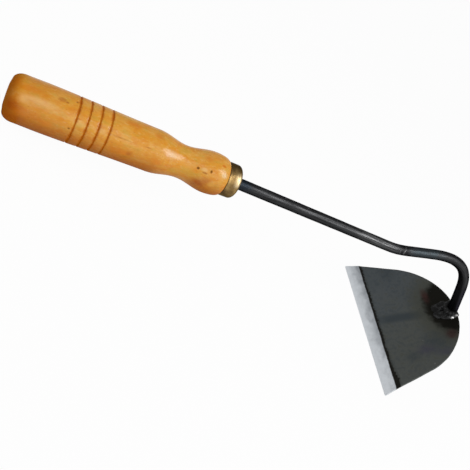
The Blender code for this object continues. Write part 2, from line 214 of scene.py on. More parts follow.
class Recipe(Wiring):
    """One material under way: its Principled shader and the nodes that feed it."""

    def __init__(self, name: str) -> None:
        """Start a material.

        Args:
            name: the material's name.
        """
        self.material = bpy.data.materials.new(name)
        self.material.use_nodes = True
        super().__init__(self.material.node_tree)
        self.shader = self.tree.nodes["Principled BSDF"]

    def place_in(self, matrix: Matrix) -> Wire:
        """Object coordinates, turned and moved into another frame.

        Args:
            matrix: where that frame stands in the world.

        Returns:
            The place as a vector.
        """
        here = self.node("ShaderNodeTexCoord", {}, {}, "Object")
        moved = {
            "Vector": here,
            "Location": matrix.to_translation(),
            "Rotation": matrix.to_euler(),
        }
        return self.node("ShaderNodeMapping", {"vector_type": "TEXTURE"}, moved)

    def grain(
        self,
        place: Wire,
        pitch: Place,
        detail: float = 2.0,
        roughness: float = 0.5,
        shift: float = 0.0,
    ) -> Wire:
        """Noise whose blobs have a size of their own along each axis.

        Args:
            place: where the noise is read.
            pitch: size of a blob along each axis, in metres.
            detail: octaves of finer noise.
            roughness: how strong they are.
            shift: moves the pattern, so that two of one kind differ.

        Returns:
            A value around 0.5.
        """
        scale = tuple(1 / size for size in pitch)
        moved = {"Vector": place, "Location": (shift, shift / 2, -shift), "Scale": scale}
        stretched = self.node("ShaderNodeMapping", {"vector_type": "POINT"}, moved)
        facts = {"Vector": stretched, "Scale": 1.0, "Detail": detail, "Roughness": roughness}
        return self.node("ShaderNodeTexNoise", {}, facts, "Fac")

    def spot(self, place: Wire, centre: Place, reach: Place, soft: float) -> Wire:
        """Mask of an ellipsoid.

        Args:
            place: where it is read.
            centre: its middle.
            reach: its half-lengths.
            soft: share of it over which it fades.

        Returns:
            1 inside, 0 outside.
        """
        offset = self.node("ShaderNodeVectorMath", {"operation": "SUBTRACT"}, {0: place, 1: centre})
        shrunk = self.node("ShaderNodeVectorMath", {"operation": "DIVIDE"}, {0: offset, 1: reach})
        far = self.node("ShaderNodeVectorMath", {"operation": "LENGTH"}, {0: shrunk}, "Value")
        return far.ramp(1.0, 1.0 - soft)

    def layered(self, colour: "Wire | Colour", *layers: "tuple[Wire | float, Wire | Colour]") -> Wire:
        """Lay colours over one another, the first at the bottom.

        Args:
            colour: what lies below them all.
            layers: how much of each one shows, and its colour.

        Returns:
            The mixed colour.
        """
        for share, above in layers:
            inputs = {0: share, 6: colour, 7: above}
            colour = self.node("ShaderNodeMix", {"data_type": "RGBA"}, inputs, 2)
        return colour

    def bumps(self, *bumps: "tuple[Wire, float]") -> Wire:
        """Turn heights into one normal.

        Args:
            bumps: each height, from 0 to 1, and the metres that 1 stands for.

        Returns:
            The normal.
        """
        normal: Wire | None = None
        for height, distance in bumps:
            inputs = {"Height": height, "Distance": distance, "Strength": 1.0}
            if normal is not None:
                inputs["Normal"] = normal
            normal = self.node("ShaderNodeBump", {}, inputs)
        return normal

    def dress(self, **sockets: "Wire | float | tuple") -> bpy.types.Material:
        """Feed the shader's sockets.

        Args:
            sockets: values by socket name, with _ for each space.

        Returns:
            The finished material.
        """
        for name, value in sockets.items():
            title = name.replace("_", " ").title().replace("Ior", "IOR")
            self.feed(self.shader.inputs[title], value)
        return self.material


# Frames, sections and meshes


@dataclass(frozen=True)
class Stance:
    """How the tool rests: pitched on to its butt and its cutting edge."""

    butt_place: Place = (-0.21704, 0.0, 0.013951)
    pitch: float = radians(13.01779926555258)

    @property
    def matrix(self) -> Matrix:
        """The tool's frame in the world."""
        return Matrix.Translation(self.butt_place) @ Matrix.Rotation(-self.pitch, 4, "Y")


STANCE = Stance()


@dataclass(frozen=True)
class Waves:
    """Two octaves of noise that move a surface."""

    coarse: float
    fine: float
    fine_share: float
    drawn_out: float = 1.0

    def at(self, place: Vector) -> float:
        """Their height at a place."""
        drawn = Vector((place.x * self.drawn_out, place.y, place.z))
        return noise.noise(drawn * self.coarse) + self.fine_share * noise.noise(place * self.fine)


def ease(share: float) -> float:
    """Run from 0 to 1 with no slope at either end."""
    return (1 - cos(pi * share)) / 2


def shares(steps: int) -> list[float]:
    """Equal steps that end at 1, without 0."""
    return [step / steps for step in range(1, steps + 1)]


def quarter(centre: tuple[float, float], reach: tuple[float, float], steps: int) -> Section:
    """Quarter of an ellipse, from its point along the axis to its point off the axis.

    Args:
        centre: its middle, as (along, radius).
        reach: its half-lengths, of which a negative one mirrors it.
        steps: how many stretches it is cut into.

    Returns:
        Its points, both ends included.
    """
    angles = [QUARTER_TURN * share for share in [0.0, *shares(steps)]]
    return [(centre[0] + reach[0] * cos(angle), centre[1] + reach[1] * sin(angle)) for angle in angles]


def spun(section: Section, steps: int, closed: bool = False) -> bmesh.types.BMesh:
    """Turn a section about the tool's X axis.

    Args:
        section: (along, radius) points.
        steps: facets around.
        closed: whether the last point joins the first.

    Returns:
        The turned shell.
    """
    shell = bmesh.new()
    corners = [shell.verts.new((along, 0, radius)) for along, radius in section]
    followers = corners[1:] + corners[:1] if closed else corners[1:]
    edges = [shell.edges.new(pair) for pair in zip(corners, followers)]
    bmesh.ops.spin(
        shell,
        geom=corners + edges,
        cent=(0, 0, 0),
        axis=(1, 0, 0),
        angle=FULL_TURN,
        steps=steps,
        use_merge=True,
    )
    bmesh.ops.remove_doubles(shell, verts=shell.verts, dist=MERGE_DISTANCE)
    return shell


def whole(shell: bmesh.types.BMesh) -> list:
    """All corners, edges and faces of a shell."""
    return shell.verts[:] + shell.edges[:] + shell.faces[:]


def only(items: list, kind: type) -> list:
    """The items of one kind."""
    return [item for item in items if isinstance(item, kind)]


def cut_back(shell: bmesh.types.BMesh, place: Vector, normal: Vector) -> list[bmesh.types.BMEdge]:
    """Take away what lies behind a plane.

    Args:
        shell: what is cut.
        place: a point of the plane.
        normal: the plane's normal, on the side that stays.

    Returns:
        The edges round the open cut.
    """
    cut = bmesh.ops.bisect_plane(
        shell, geom=whole(shell), plane_co=place, plane_no=normal, clear_inner=True
    )
    return only(cut["geom_cut"], bmesh.types.BMEdge)


def mesh_from(shell: bmesh.types.BMesh, name: str) -> bpy.types.Mesh:
    """Turn a shell into a mesh, and let the shell go.

    Args:
        shell: the shell.
        name: the mesh's name.

    Returns:
        The mesh.
    """
    mesh = bpy.data.meshes.new(name)
    shell.to_mesh(mesh)
    shell.free()
    return mesh


def set_down(name: str, data: bpy.types.ID) -> bpy.types.Object:
    """Put an object into the scene.

    Args:
        name: its name.
        data: its mesh, lamp or camera.

    Returns:
        The object.
    """
    added = bpy.data.objects.new(name, data)
    bpy.context.scene.collection.objects.link(added)
    return added


def settle(
    shell: bmesh.types.BMesh,
    name: str,
    matrix: Matrix,
    finish: bpy.types.Material,
    stands_for: str,
    sharp: float = radians(38),
) -> bpy.types.Object:
    """Make a shell into a piece of the tool, with its place in its mesh.

    Args:
        shell: the piece in the frame it was drawn in.
        name: the piece's name.
        matrix: that frame in the world.
        finish: its material.
        stands_for: the CAD node that it replaces.
        sharp: edges steeper than this stay sharp.

    Returns:
        The piece.
    """
    bmesh.ops.transform(shell, matrix=matrix, verts=shell.verts)
    bmesh.ops.recalc_face_normals(shell, faces=shell.faces)
    mesh = mesh_from(shell, name)
    mesh.shade_smooth()
    mesh.set_sharp_from_angle(angle=sharp)
    mesh.materials.append(finish)
    piece = set_down(name, mesh)
    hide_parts(stands_for)
    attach(piece, BODY)
    return piece


# Finishes


@dataclass(frozen=True)
class Mark:
    """A knot, fleck, scratch, tint, painted highlight or painted shade: a soft ellipsoid of one colour, in
    its finish's frame.
    """

    centre: Place
    reach: Place
    colour: Colour
    strength: float
    soft: float = 0.7

    def share(self, recipe: Recipe, place: Wire, broken: Wire | float = 1.0) -> Wire:
        """How much of the mark shows.

        Args:
            recipe: the material under way.
            place: where it is read.
            broken: noise that breaks the mark up.

        Returns:
            From 0 to the mark's strength.
        """
        shape = recipe.spot(place, self.centre, self.reach, self.soft)
        return (shape * broken).limited() * self.strength


@dataclass(frozen=True)
class LacqueredWood:
    """Honey-coloured turned wood under clear lacquer, with burnt lines."""

    burnt_lines: tuple[float, ...]
    line_half: float
    honey: Colour = (0.640, 0.270, 0.019)
    straw: Colour = (0.660, 0.325, 0.048)
    amber: Colour = (0.600, 0.190, 0.010)
    russet: Colour = (0.340, 0.074, 0.005)
    pale: Colour = (0.720, 0.420, 0.140)
    olive: Colour = (0.500, 0.300, 0.034)
    burnt: Colour = (0.400, 0.100, 0.004)
    knot: Colour = (0.130, 0.036, 0.003)
    ember: Colour = (0.560, 0.150, 0.004)
    highlight_cream: Colour = (0.620, 0.430, 0.210)
    pith: tuple[float, float] = (0.021, -0.034)
    ring_pitch: float = 0.0031
    ring_wander: float = 0.0045
    line_core: float = 0.0002
    line_spread: float = 1.5
    line_wander: float = 0.0013
    scorch_half: float = 0.0019
    tool_mark_pitch: float = 0.0021
    tool_marks_at: float = 0.1110
    rings_fade: Fade = (0.013, 0.005)
    chatter_fade: Fade = (0.015, 0.006)
    hollow_at: float = 0.1200
    hollow_fade: Fade = (0.022, 0.006)
    shaded_side: tuple[float, float] = (-0.54, -0.84)
    shaded_fade: Fade = (0.001, 0.0165)
    darker_to_butt: Fade = (0.040, 0.012)
    handled: Fade = (0.0130, 0.0040)
    butt_rim: Fade = (0.0085, 0.0003)

    def marks(self) -> tuple[Mark, ...]:
        """The knots, flecks, scratches and clouds that show on the side of the grip, with painted
        highlights and painted shade among them.
        """
        return (
            Mark((0.0045, -0.0146, 0.0033), (0.0105, 0.0075, 0.0070), self.russet, 0.95, 0.95),
            Mark((0.0075, -0.0150, -0.004), (0.0100, 0.0070, 0.0065), self.russet, 0.70, 0.95),
            Mark((0.0028, -0.0035, 0.0138), (0.0050, 0.0060, 0.0045), self.amber, 0.80, 0.9),
            Mark((0.0110, -0.0069, 0.0144), (0.0100, 0.0040, 0.0035), self.amber, 0.65, 0.9),
            # Painted highlights: the next two lighten the barrel near the butt, where the lamps' sheen
            # falls
            Mark((0.0185, -0.0114, 0.0114), (0.0150, 0.0035, 0.0038), self.pale, 0.50, 0.9),
            Mark((0.0092, -0.0126, 0.0094), (0.0050, 0.0035, 0.0035), self.pale, 0.45, 0.9),
            Mark((0.0205, -0.0146, 0.0068), (0.0100, 0.0035, 0.0035), self.amber, 0.35, 0.9),
            Mark((0.0275, -0.0160, 0.0005), (0.0080, 0.0030, 0.0035), self.amber, 0.55, 0.9),
            Mark((0.0318, -0.0058, 0.0150), (0.0040, 0.0024, 0.0020), self.russet, 0.52),
            Mark((0.0352, -0.0066, 0.0148), (0.0014, 0.0010, 0.0009), self.russet, 0.70),
            Mark((0.0410, -0.0035, 0.0157), (0.0011, 0.0008, 0.0008), self.knot, 0.60),
            Mark((0.0408, -0.0157, 0.0030), (0.0011, 0.0009, 0.0008), self.knot, 0.75),
            # Painted highlight: a pale patch on the barrel where the sheen falls
            Mark((0.0450, -0.0135, 0.0085), (0.0070, 0.0030, 0.0040), self.pale, 0.35, 0.9),
            Mark((0.0450, -0.0123, 0.0102), (0.0021, 0.0010, 0.0008), self.amber, 0.80),
            # Painted highlight: a pale patch on the barrel where the sheen falls
            Mark((0.0600, -0.0135, 0.0083), (0.0060, 0.0030, 0.0040), self.pale, 0.35, 0.9),
            Mark((0.0750, -0.0130, 0.0087), (0.0110, 0.0008, 0.0007), self.knot, 0.26),
            Mark((0.0793, -0.0156, 0.0), (0.0055, 0.0025, 0.0030), self.amber, 0.80, 0.9),
            Mark((0.0805, -0.0023, 0.0154), (0.0090, 0.0032, 0.0024), self.amber, 0.85, 0.9),
            Mark((0.0828, -0.0155, 0.0009), (0.0030, 0.0020, 0.0024), self.russet, 0.45, 0.9),
            Mark((0.0938, -0.0125, 0.0090), (0.0034, 0.0006, 0.0005), self.russet, 0.55),
            Mark((0.0993, -0.0037, 0.0149), (0.0055, 0.0040, 0.0030), self.amber, 0.75, 0.9),
            Mark((0.1030, -0.0150, 0.0022), (0.0055, 0.0030, 0.0035), self.amber, 0.80, 0.9),
            Mark((0.1160, -0.0125, -0.001), (0.0060, 0.0040, 0.0040), self.olive, 0.55, 0.9),
            Mark((0.1190, -0.0040, 0.0115), (0.0070, 0.0040, 0.0030), self.olive, 0.50, 0.9),
            Mark((0.1255, -0.0115, 0.0046), (0.0070, 0.0030, 0.0040), self.straw, 0.60, 0.9),
            Mark((0.1322, -0.0109, 0.0073), (0.0015, 0.0014, 0.0013), self.knot, 1.0),
            Mark((0.1368, -0.0116, 0.0083), (0.0036, 0.0020, 0.0018), self.pale, 0.75),
            Mark((0.1378, -0.0128, 0.0066), (0.0034, 0.0010, 0.0010), self.russet, 0.70),
            Mark((0.1417, -0.0120, 0.0089), (0.0012, 0.0014, 0.0020), self.knot, 0.9),
            # Painted shade: the next four darken the low front of the waist and the bulb
            Mark((0.1365, -0.0138, -0.0022), (0.0084, 0.0040, 0.0052), self.russet, 0.85, 0.95),
            Mark((0.1275, -0.0118, 0.0012), (0.0110, 0.0045, 0.0050), self.olive, 0.50, 0.95),
            Mark((0.1410, -0.0148, 0.0022), (0.0065, 0.0038, 0.0042), self.russet, 0.38, 0.90),
            Mark((0.1335, -0.0122, -0.0062), (0.0065, 0.0042, 0.0046), self.russet, 0.40, 0.90),
            Mark((0.0135, -0.0155, 0.0020), (0.0110, 0.0040, 0.0048), self.ember, 0.50, 0.95),
            Mark((0.0735, -0.0160, -0.0010), (0.0085, 0.0030, 0.0040), self.ember, 0.45, 0.95),
            Mark((0.1387, -0.0048, 0.0135), (0.0050, 0.0035, 0.0030), self.amber, 0.75, 0.9),
            Mark((0.1450, -0.0150, 0.0010), (0.0040, 0.0030, 0.0030), self.straw, 0.60, 0.9),
            Mark((0.1500, -0.0066, 0.0136), (0.0026, 0.0014, 0.0012), self.ember, 0.95),
            Mark((0.0433, -0.0014, 0.0158), (0.0016, 0.0032, 0.0020), self.ember, 0.75, 0.8),
            Mark((0.0508, -0.0024, 0.0157), (0.0015, 0.0026, 0.0020), self.ember, 0.60, 0.8),
            Mark((0.0577, -0.0020, 0.0157), (0.0015, 0.0030, 0.0020), self.ember, 0.60, 0.8),
            Mark((0.0655, -0.0036, 0.0153), (0.0016, 0.0034, 0.0020), self.ember, 0.75, 0.8),
            # Painted highlights: the next two make the sheen on the waist and on the bulb's nose paler
            Mark((0.1108, -0.0103, 0.0092), (0.0085, 0.0045, 0.0045), self.highlight_cream, 0.45, 0.9),
            Mark((0.1525, -0.0117, 0.0096), (0.0038, 0.0030, 0.0032), self.highlight_cream, 0.60, 0.9),
        )

    def make(self) -> bpy.types.Material:
        """Build the material.

        Returns:
            The finished material.
        """
        recipe = Recipe("lacquered_wood")
        place = recipe.place_in(STANCE.matrix)
        along, across, above = recipe.axes(place)
        # Growth rings about a pith outside the grip, which wander along it
        wander = recipe.grain(place, (0.060, 0.012, 0.012), detail=2.0)
        sideways, upwards = across - self.pith[0], above - self.pith[1]
        depth = (sideways * sideways + upwards * upwards) ** 0.5 + wander * self.ring_wander
        rings = (depth * (FULL_TURN / self.ring_pitch)).cosine() * 0.5 + 0.5
        cloud = recipe.grain(place, (0.016, 0.009, 0.009), detail=3.0, roughness=0.6)
        patch = recipe.grain(place, (0.007, 0.0045, 0.0045), detail=3.0, shift=23.0)
        streak = recipe.grain(place, (0.028, 0.0016, 0.0016), detail=3.0, shift=3.0)
        fibre = recipe.grain(place, (0.0050, 0.00028, 0.00028), detail=2.0, shift=7.0)
        fleck = recipe.grain(place, (0.0016, 0.00050, 0.00050), detail=1.0, shift=11.0)
        mottle = recipe.grain(place, (0.0030, 0.0014, 0.0014), detail=3.0, roughness=0.65, shift=29.0)
        ragged = recipe.grain(place, (0.0026, 0.0007, 0.0007), detail=2.0, shift=2.0)
        # Painted shade: the low side is darker, less so where the waist catches light from below
        low = across * self.shaded_side[0] + above * self.shaded_side[1]
        painted_shade = low.ramp(*self.shaded_fade) * (1 - along.near(self.hollow_at, self.hollow_fade) * 0.48)
        colour = recipe.layered(
            self.honey,
            (cloud.ramp(0.42, 0.66), self.straw),
            (patch.ramp(0.50, 0.68) * 0.50, self.amber),
            (patch.ramp(0.48, 0.34) * 0.45, self.olive),
            (streak.ramp(0.50, 0.72) * 0.28, self.amber),
            (rings.ramp(0.55, 1.0) * 0.12, self.amber),
            (fibre.ramp(0.50, 0.75) * 0.18, self.pale),
            (mottle.ramp(0.52, 0.70) * 0.35, self.amber),
            (mottle.ramp(0.46, 0.30) * 0.40, self.pale),
            (fleck.ramp(0.66, 0.78) * 0.50, self.russet),
            # Painted shade on the low side
            (painted_shade * 0.76, self.russet),
            # Darker towards the butt
            (along.ramp(*self.darker_to_butt) * 0.16, self.russet),
        )
        dulled = along.ramp(*self.handled) + painted_shade * 0.8
        broken = ragged + 0.5
        for mark in self.marks():
            share = mark.share(recipe, place, broken)
            colour = recipe.layered(colour, (share, mark.colour))
            if mark.colour == self.knot:
                dulled = dulled + share
        line, scorch = self.lines(along, ragged)
        colour = recipe.layered(
            colour,
            (scorch * patch.ramp(0.38, 0.62) * 0.60, self.russet),
            (line * (patch * 1.1 + 0.36).limited(), self.burnt),
            (along.ramp(*self.butt_rim) * 0.66, self.russet),
        )
        gloss = recipe.grain(place, (0.012, 0.004, 0.004), detail=3.0, shift=5.0)
        return recipe.dress(
            base_color=colour,
            roughness=gloss.ramp(0.25, 0.8) * 0.16 + 0.44 + line * 0.2,
            normal=self.surface(recipe, place, along, line),
            specular_ior_level=0.0,
            coat_weight=(1 - dulled - line).limited() * (gloss * 0.7 + 0.15),
            coat_roughness=0.17,
            coat_ior=1.6,
        )

    def lines(self, along: Wire, ragged: Wire) -> tuple[Wire, Wire]:
        """Masks of the burnt lines and of the scorched wood beside them.

        Args:
            along: place along the grip.
            ragged: noise that breaks their edges.

        Returns:
            The lines and the scorch.
        """
        nearest, *others = [abs(along - place) for place in self.burnt_lines]
        for gap in others:
            nearest = nearest.smaller(gap)
        edge = nearest + (ragged - 0.5) * self.line_wander
        line = edge.ramp(self.line_half * self.line_spread, self.line_core)
        return line, edge.ramp(self.scorch_half, self.line_half * 0.6)

    def surface(self, recipe: Recipe, place: Wire, along: Wire, line: Wire) -> Wire:
        """Lathe marks, pores and lacquer waves.

        Args:
            recipe: the material under way.
            place: the tool's frame.
            along: place along the grip.
            line: mask of the burnt lines.

        Returns:
            The normal.
        """
        lathe = recipe.grain(place, (0.00055, 0.0060, 0.0060), detail=2.0, shift=13.0)
        waves = recipe.grain(place, (0.0050, 0.0035, 0.0035), detail=1.0, shift=17.0)
        pores = recipe.grain(place, (0.0030, 0.00022, 0.00022), detail=1.0, shift=19.0)
        # The gouge left shallow rings where the barrel runs down into the waist
        wobble = recipe.grain(place, (0.004, 0.003, 0.003), detail=1.0, shift=21.0)
        rings = (along * (FULL_TURN / self.tool_mark_pitch) + wobble * 9.0).cosine()
        rings = rings * along.near(self.tool_marks_at, self.rings_fade)
        chatter = recipe.grain(place, (0.0010, 0.0014, 0.0014), detail=1.0, shift=25.0)
        chatter = chatter * along.near(self.tool_marks_at, self.chatter_fade)
        return recipe.bumps(
            (waves, 0.00010),
            (rings, 0.000011),
            (chatter, 0.00015),
            (lathe, 0.000035),
            (1 - pores.ramp(0.60, 0.75) * 0.6 - line * 0.5, 0.00003),
        )


@dataclass(frozen=True)
class AgedBrass:
    """Drawn brass, dulled with handling; its top and low sides browned as painted shade, its front corner
    brightened as a painted highlight.
    """

    front_edge: float
    back_edge: float
    clean: Colour = (0.375, 0.245, 0.092)
    dull: Colour = (0.195, 0.120, 0.042)
    brown: Colour = (0.045, 0.027, 0.012)
    highlight_gold: Colour = (0.900, 0.720, 0.430)
    rim_tint: Colour = (0.45, 0.42, 0.36)
    top_side: tuple[float, float] = (0.60, 0.80)
    top_fade: Fade = (0.0050, 0.0110)
    under_side: tuple[float, float] = (-0.30, -0.90)
    under_fade: Fade = (0.0015, 0.0090)
    front_side: tuple[float, float] = (-0.75, 0.66)
    front_fade: Fade = (0.0110, 0.0127)
    highlight_starts: float = 0.0070
    highlight_full: float = 0.0018
    seam_fade: Fade = (0.0009, 0.0001)

    def make(self) -> bpy.types.Material:
        """Build the material.

        Returns:
            The finished material.
        """
        recipe = Recipe("aged_brass")
        place = recipe.place_in(STANCE.matrix)
        along, across, above = recipe.axes(place)
        cloud = recipe.grain(place, (0.006, 0.007, 0.007), detail=4.0, roughness=0.6)
        turned = recipe.grain(place, (0.00035, 0.008, 0.008), detail=2.0, shift=3.0)
        speck = recipe.grain(place, (0.0007, 0.0007, 0.0007), detail=2.0, shift=7.0)

        def towards(side: tuple[float, float], wander: float, fade: Fade) -> Wire:
            """Mask of the cap's surface on one side, with a wandering edge."""
            return (across * side[0] + above * side[1] + (cloud - 0.5) * wander).ramp(*fade)

        # Painted highlight: a bright band on the front corner, on the side that faces the lamps
        highlight_band = along.ramp(self.front_edge - self.highlight_starts, self.front_edge - self.highlight_full)
        seam = along.ramp(*(self.back_edge + gap for gap in self.seam_fade))
        colour = recipe.layered(
            self.clean,
            (cloud.ramp(0.36, 0.64), self.dull),
            (speck.ramp(0.60, 0.74) * 0.6, self.brown),
            # Painted shade: the next two darken the top and the low side
            (towards(self.top_side, 0.003, self.top_fade) * 0.85, self.brown),
            (towards(self.under_side, 0.003, self.under_fade) * 0.72, self.brown),
            # Painted highlight on the front corner
            (highlight_band * towards(self.front_side, 0.002, self.front_fade) * 0.70, self.highlight_gold),
            (seam * 0.45, self.brown),
        )
        return recipe.dress(
            base_color=colour,
            roughness=cloud.ramp(0.3, 0.7) * 0.14 + speck * 0.08 + 0.27,
            normal=recipe.bumps((turned, 0.00002), (cloud, 0.00009)),
            metallic=1.0,
            specular_tint=self.rim_tint,
            coat_weight=0.10,
            coat_roughness=0.25,
        )


@dataclass(frozen=True)
class BlackRodSteel:
    """Hot-rolled bar: black scale, rubbed to grey steel along its high sides, where that grey is also a
    painted highlight, and darkened on its low side as painted shade.
    """

    rubbed_sheen_place: float = 0.1380
    rubbed_sheen_fade: Fade = (0.028, 0.010)
    turn_place: float = 0.2410
    turn_fade: Fade = (0.024, 0.008)
    blue_place: float = 0.1870
    blue_fade: Fade = (0.022, 0.008)
    plum_fade: Fade = (0.252, 0.266)
    navy_fade: Fade = (0.017, 0.005)
    shaded_side: tuple[float, float] = (0.80, -0.55)
    shaded_fade: Fade = (0.0010, 0.0040)
    scuff_place: float = 0.1680
    scuff_wander: float = 0.0030
    dark_back: float = 0.0018
    dark_fade: Fade = (0.0068, 0.0026)
    light_slant: float = 0.35
    light_fade: Fade = (0.0010, 0.0002)
    nick_back: float = 0.0042
    nick_slant: float = 0.30
    nick_fade: Fade = (0.0008, 0.0002)
    scale: Colour = (0.023, 0.023, 0.024)
    rubbed: Colour = (0.053, 0.054, 0.056)
    worn_and_sheen: Colour = (0.150, 0.151, 0.153)
    bare: Colour = (0.240, 0.242, 0.246)
    blued: Colour = (0.046, 0.058, 0.065)
    navy: Colour = (0.018, 0.028, 0.040)
    plum: Colour = (0.036, 0.032, 0.050)
    rust: Colour = (0.050, 0.030, 0.022)
    rim_tint: Colour = (0.12, 0.12, 0.12)

    def make(self) -> bpy.types.Material:
        """Build the material.

        Returns:
            The finished material.
        """
        recipe = Recipe("black_rod_steel")
        layer = {"attribute_name": SwanNeck.PLACE_LAYER}
        place = recipe.node("ShaderNodeAttribute", layer, {}, "Vector")
        along, inwards, across = recipe.axes(place)
        drawn = recipe.grain(place, (0.022, 0.0011, 0.0011), detail=3.0, roughness=0.55)
        cloud = recipe.grain(place, (0.007, 0.004, 0.004), detail=4.0, roughness=0.6, shift=5.0)
        pits = recipe.grain(place, (0.0007, 0.0006, 0.0006), detail=2.0, shift=9.0)
        # Painted highlight as well as wear: the grey steel along the reach and on the big bend lies where
        # the lamps' streak falls
        worn_and_sheen = along.near(self.rubbed_sheen_place, self.rubbed_sheen_fade) * drawn.ramp(0.34, 0.62)
        turn = along.near(self.turn_place, self.turn_fade) * drawn.ramp(0.32, 0.55)
        blue = along.near(self.blue_place, self.blue_fade) * cloud.ramp(0.30, 0.50)
        navy = along.ramp(*self.navy_fade) * cloud.ramp(0.25, 0.55)
        # Painted shade: the low side darkened towards the black of the scale
        low = inwards * self.shaded_side[0] + across * self.shaded_side[1]
        # Scuffed rings at the first bend, black about a light stroke and a fainter nick
        ragged = recipe.grain(place, (0.0012, 0.0016, 0.0016), detail=3.0, shift=20.0)
        gap = along - self.scuff_place + (ragged - 0.5) * self.scuff_wander
        light = gap.near(across * self.light_slant, self.light_fade) * ragged.ramp(0.40, 0.60)
        nick = (gap + self.nick_back).near(across * self.nick_slant, self.nick_fade)
        colour = recipe.layered(
            self.scale,
            (drawn.ramp(0.32, 0.66), self.rubbed),
            (cloud.ramp(0.60, 0.78) * 0.25, self.rust),
            # Painted highlight as well as wear
            (worn_and_sheen * 0.80, self.worn_and_sheen),
            (turn * 0.26, self.worn_and_sheen),
            (along.ramp(*self.plum_fade) * 0.55, self.plum),
            (blue * 0.80, self.blued),
            (navy * 0.7, self.navy),
            (pits.ramp(0.62, 0.78) * 0.6, self.worn_and_sheen),
            # Painted shade on the low side
            (low.ramp(*self.shaded_fade) * 0.72, self.scale),
            (abs(gap + self.dark_back).ramp(*self.dark_fade) * 0.95, self.scale),
            (light * 0.50, self.bare),
            (nick * ragged.ramp(0.48, 0.62) * 0.35, self.bare),
        )
        return recipe.dress(
            base_color=colour,
            roughness=drawn.ramp(0.35, 0.75) * -0.08 + cloud * 0.12 + 0.37,
            normal=recipe.bumps((cloud, 0.00012), (pits, 0.00006)),
            metallic=1.0,
            specular_tint=self.rim_tint,
        )


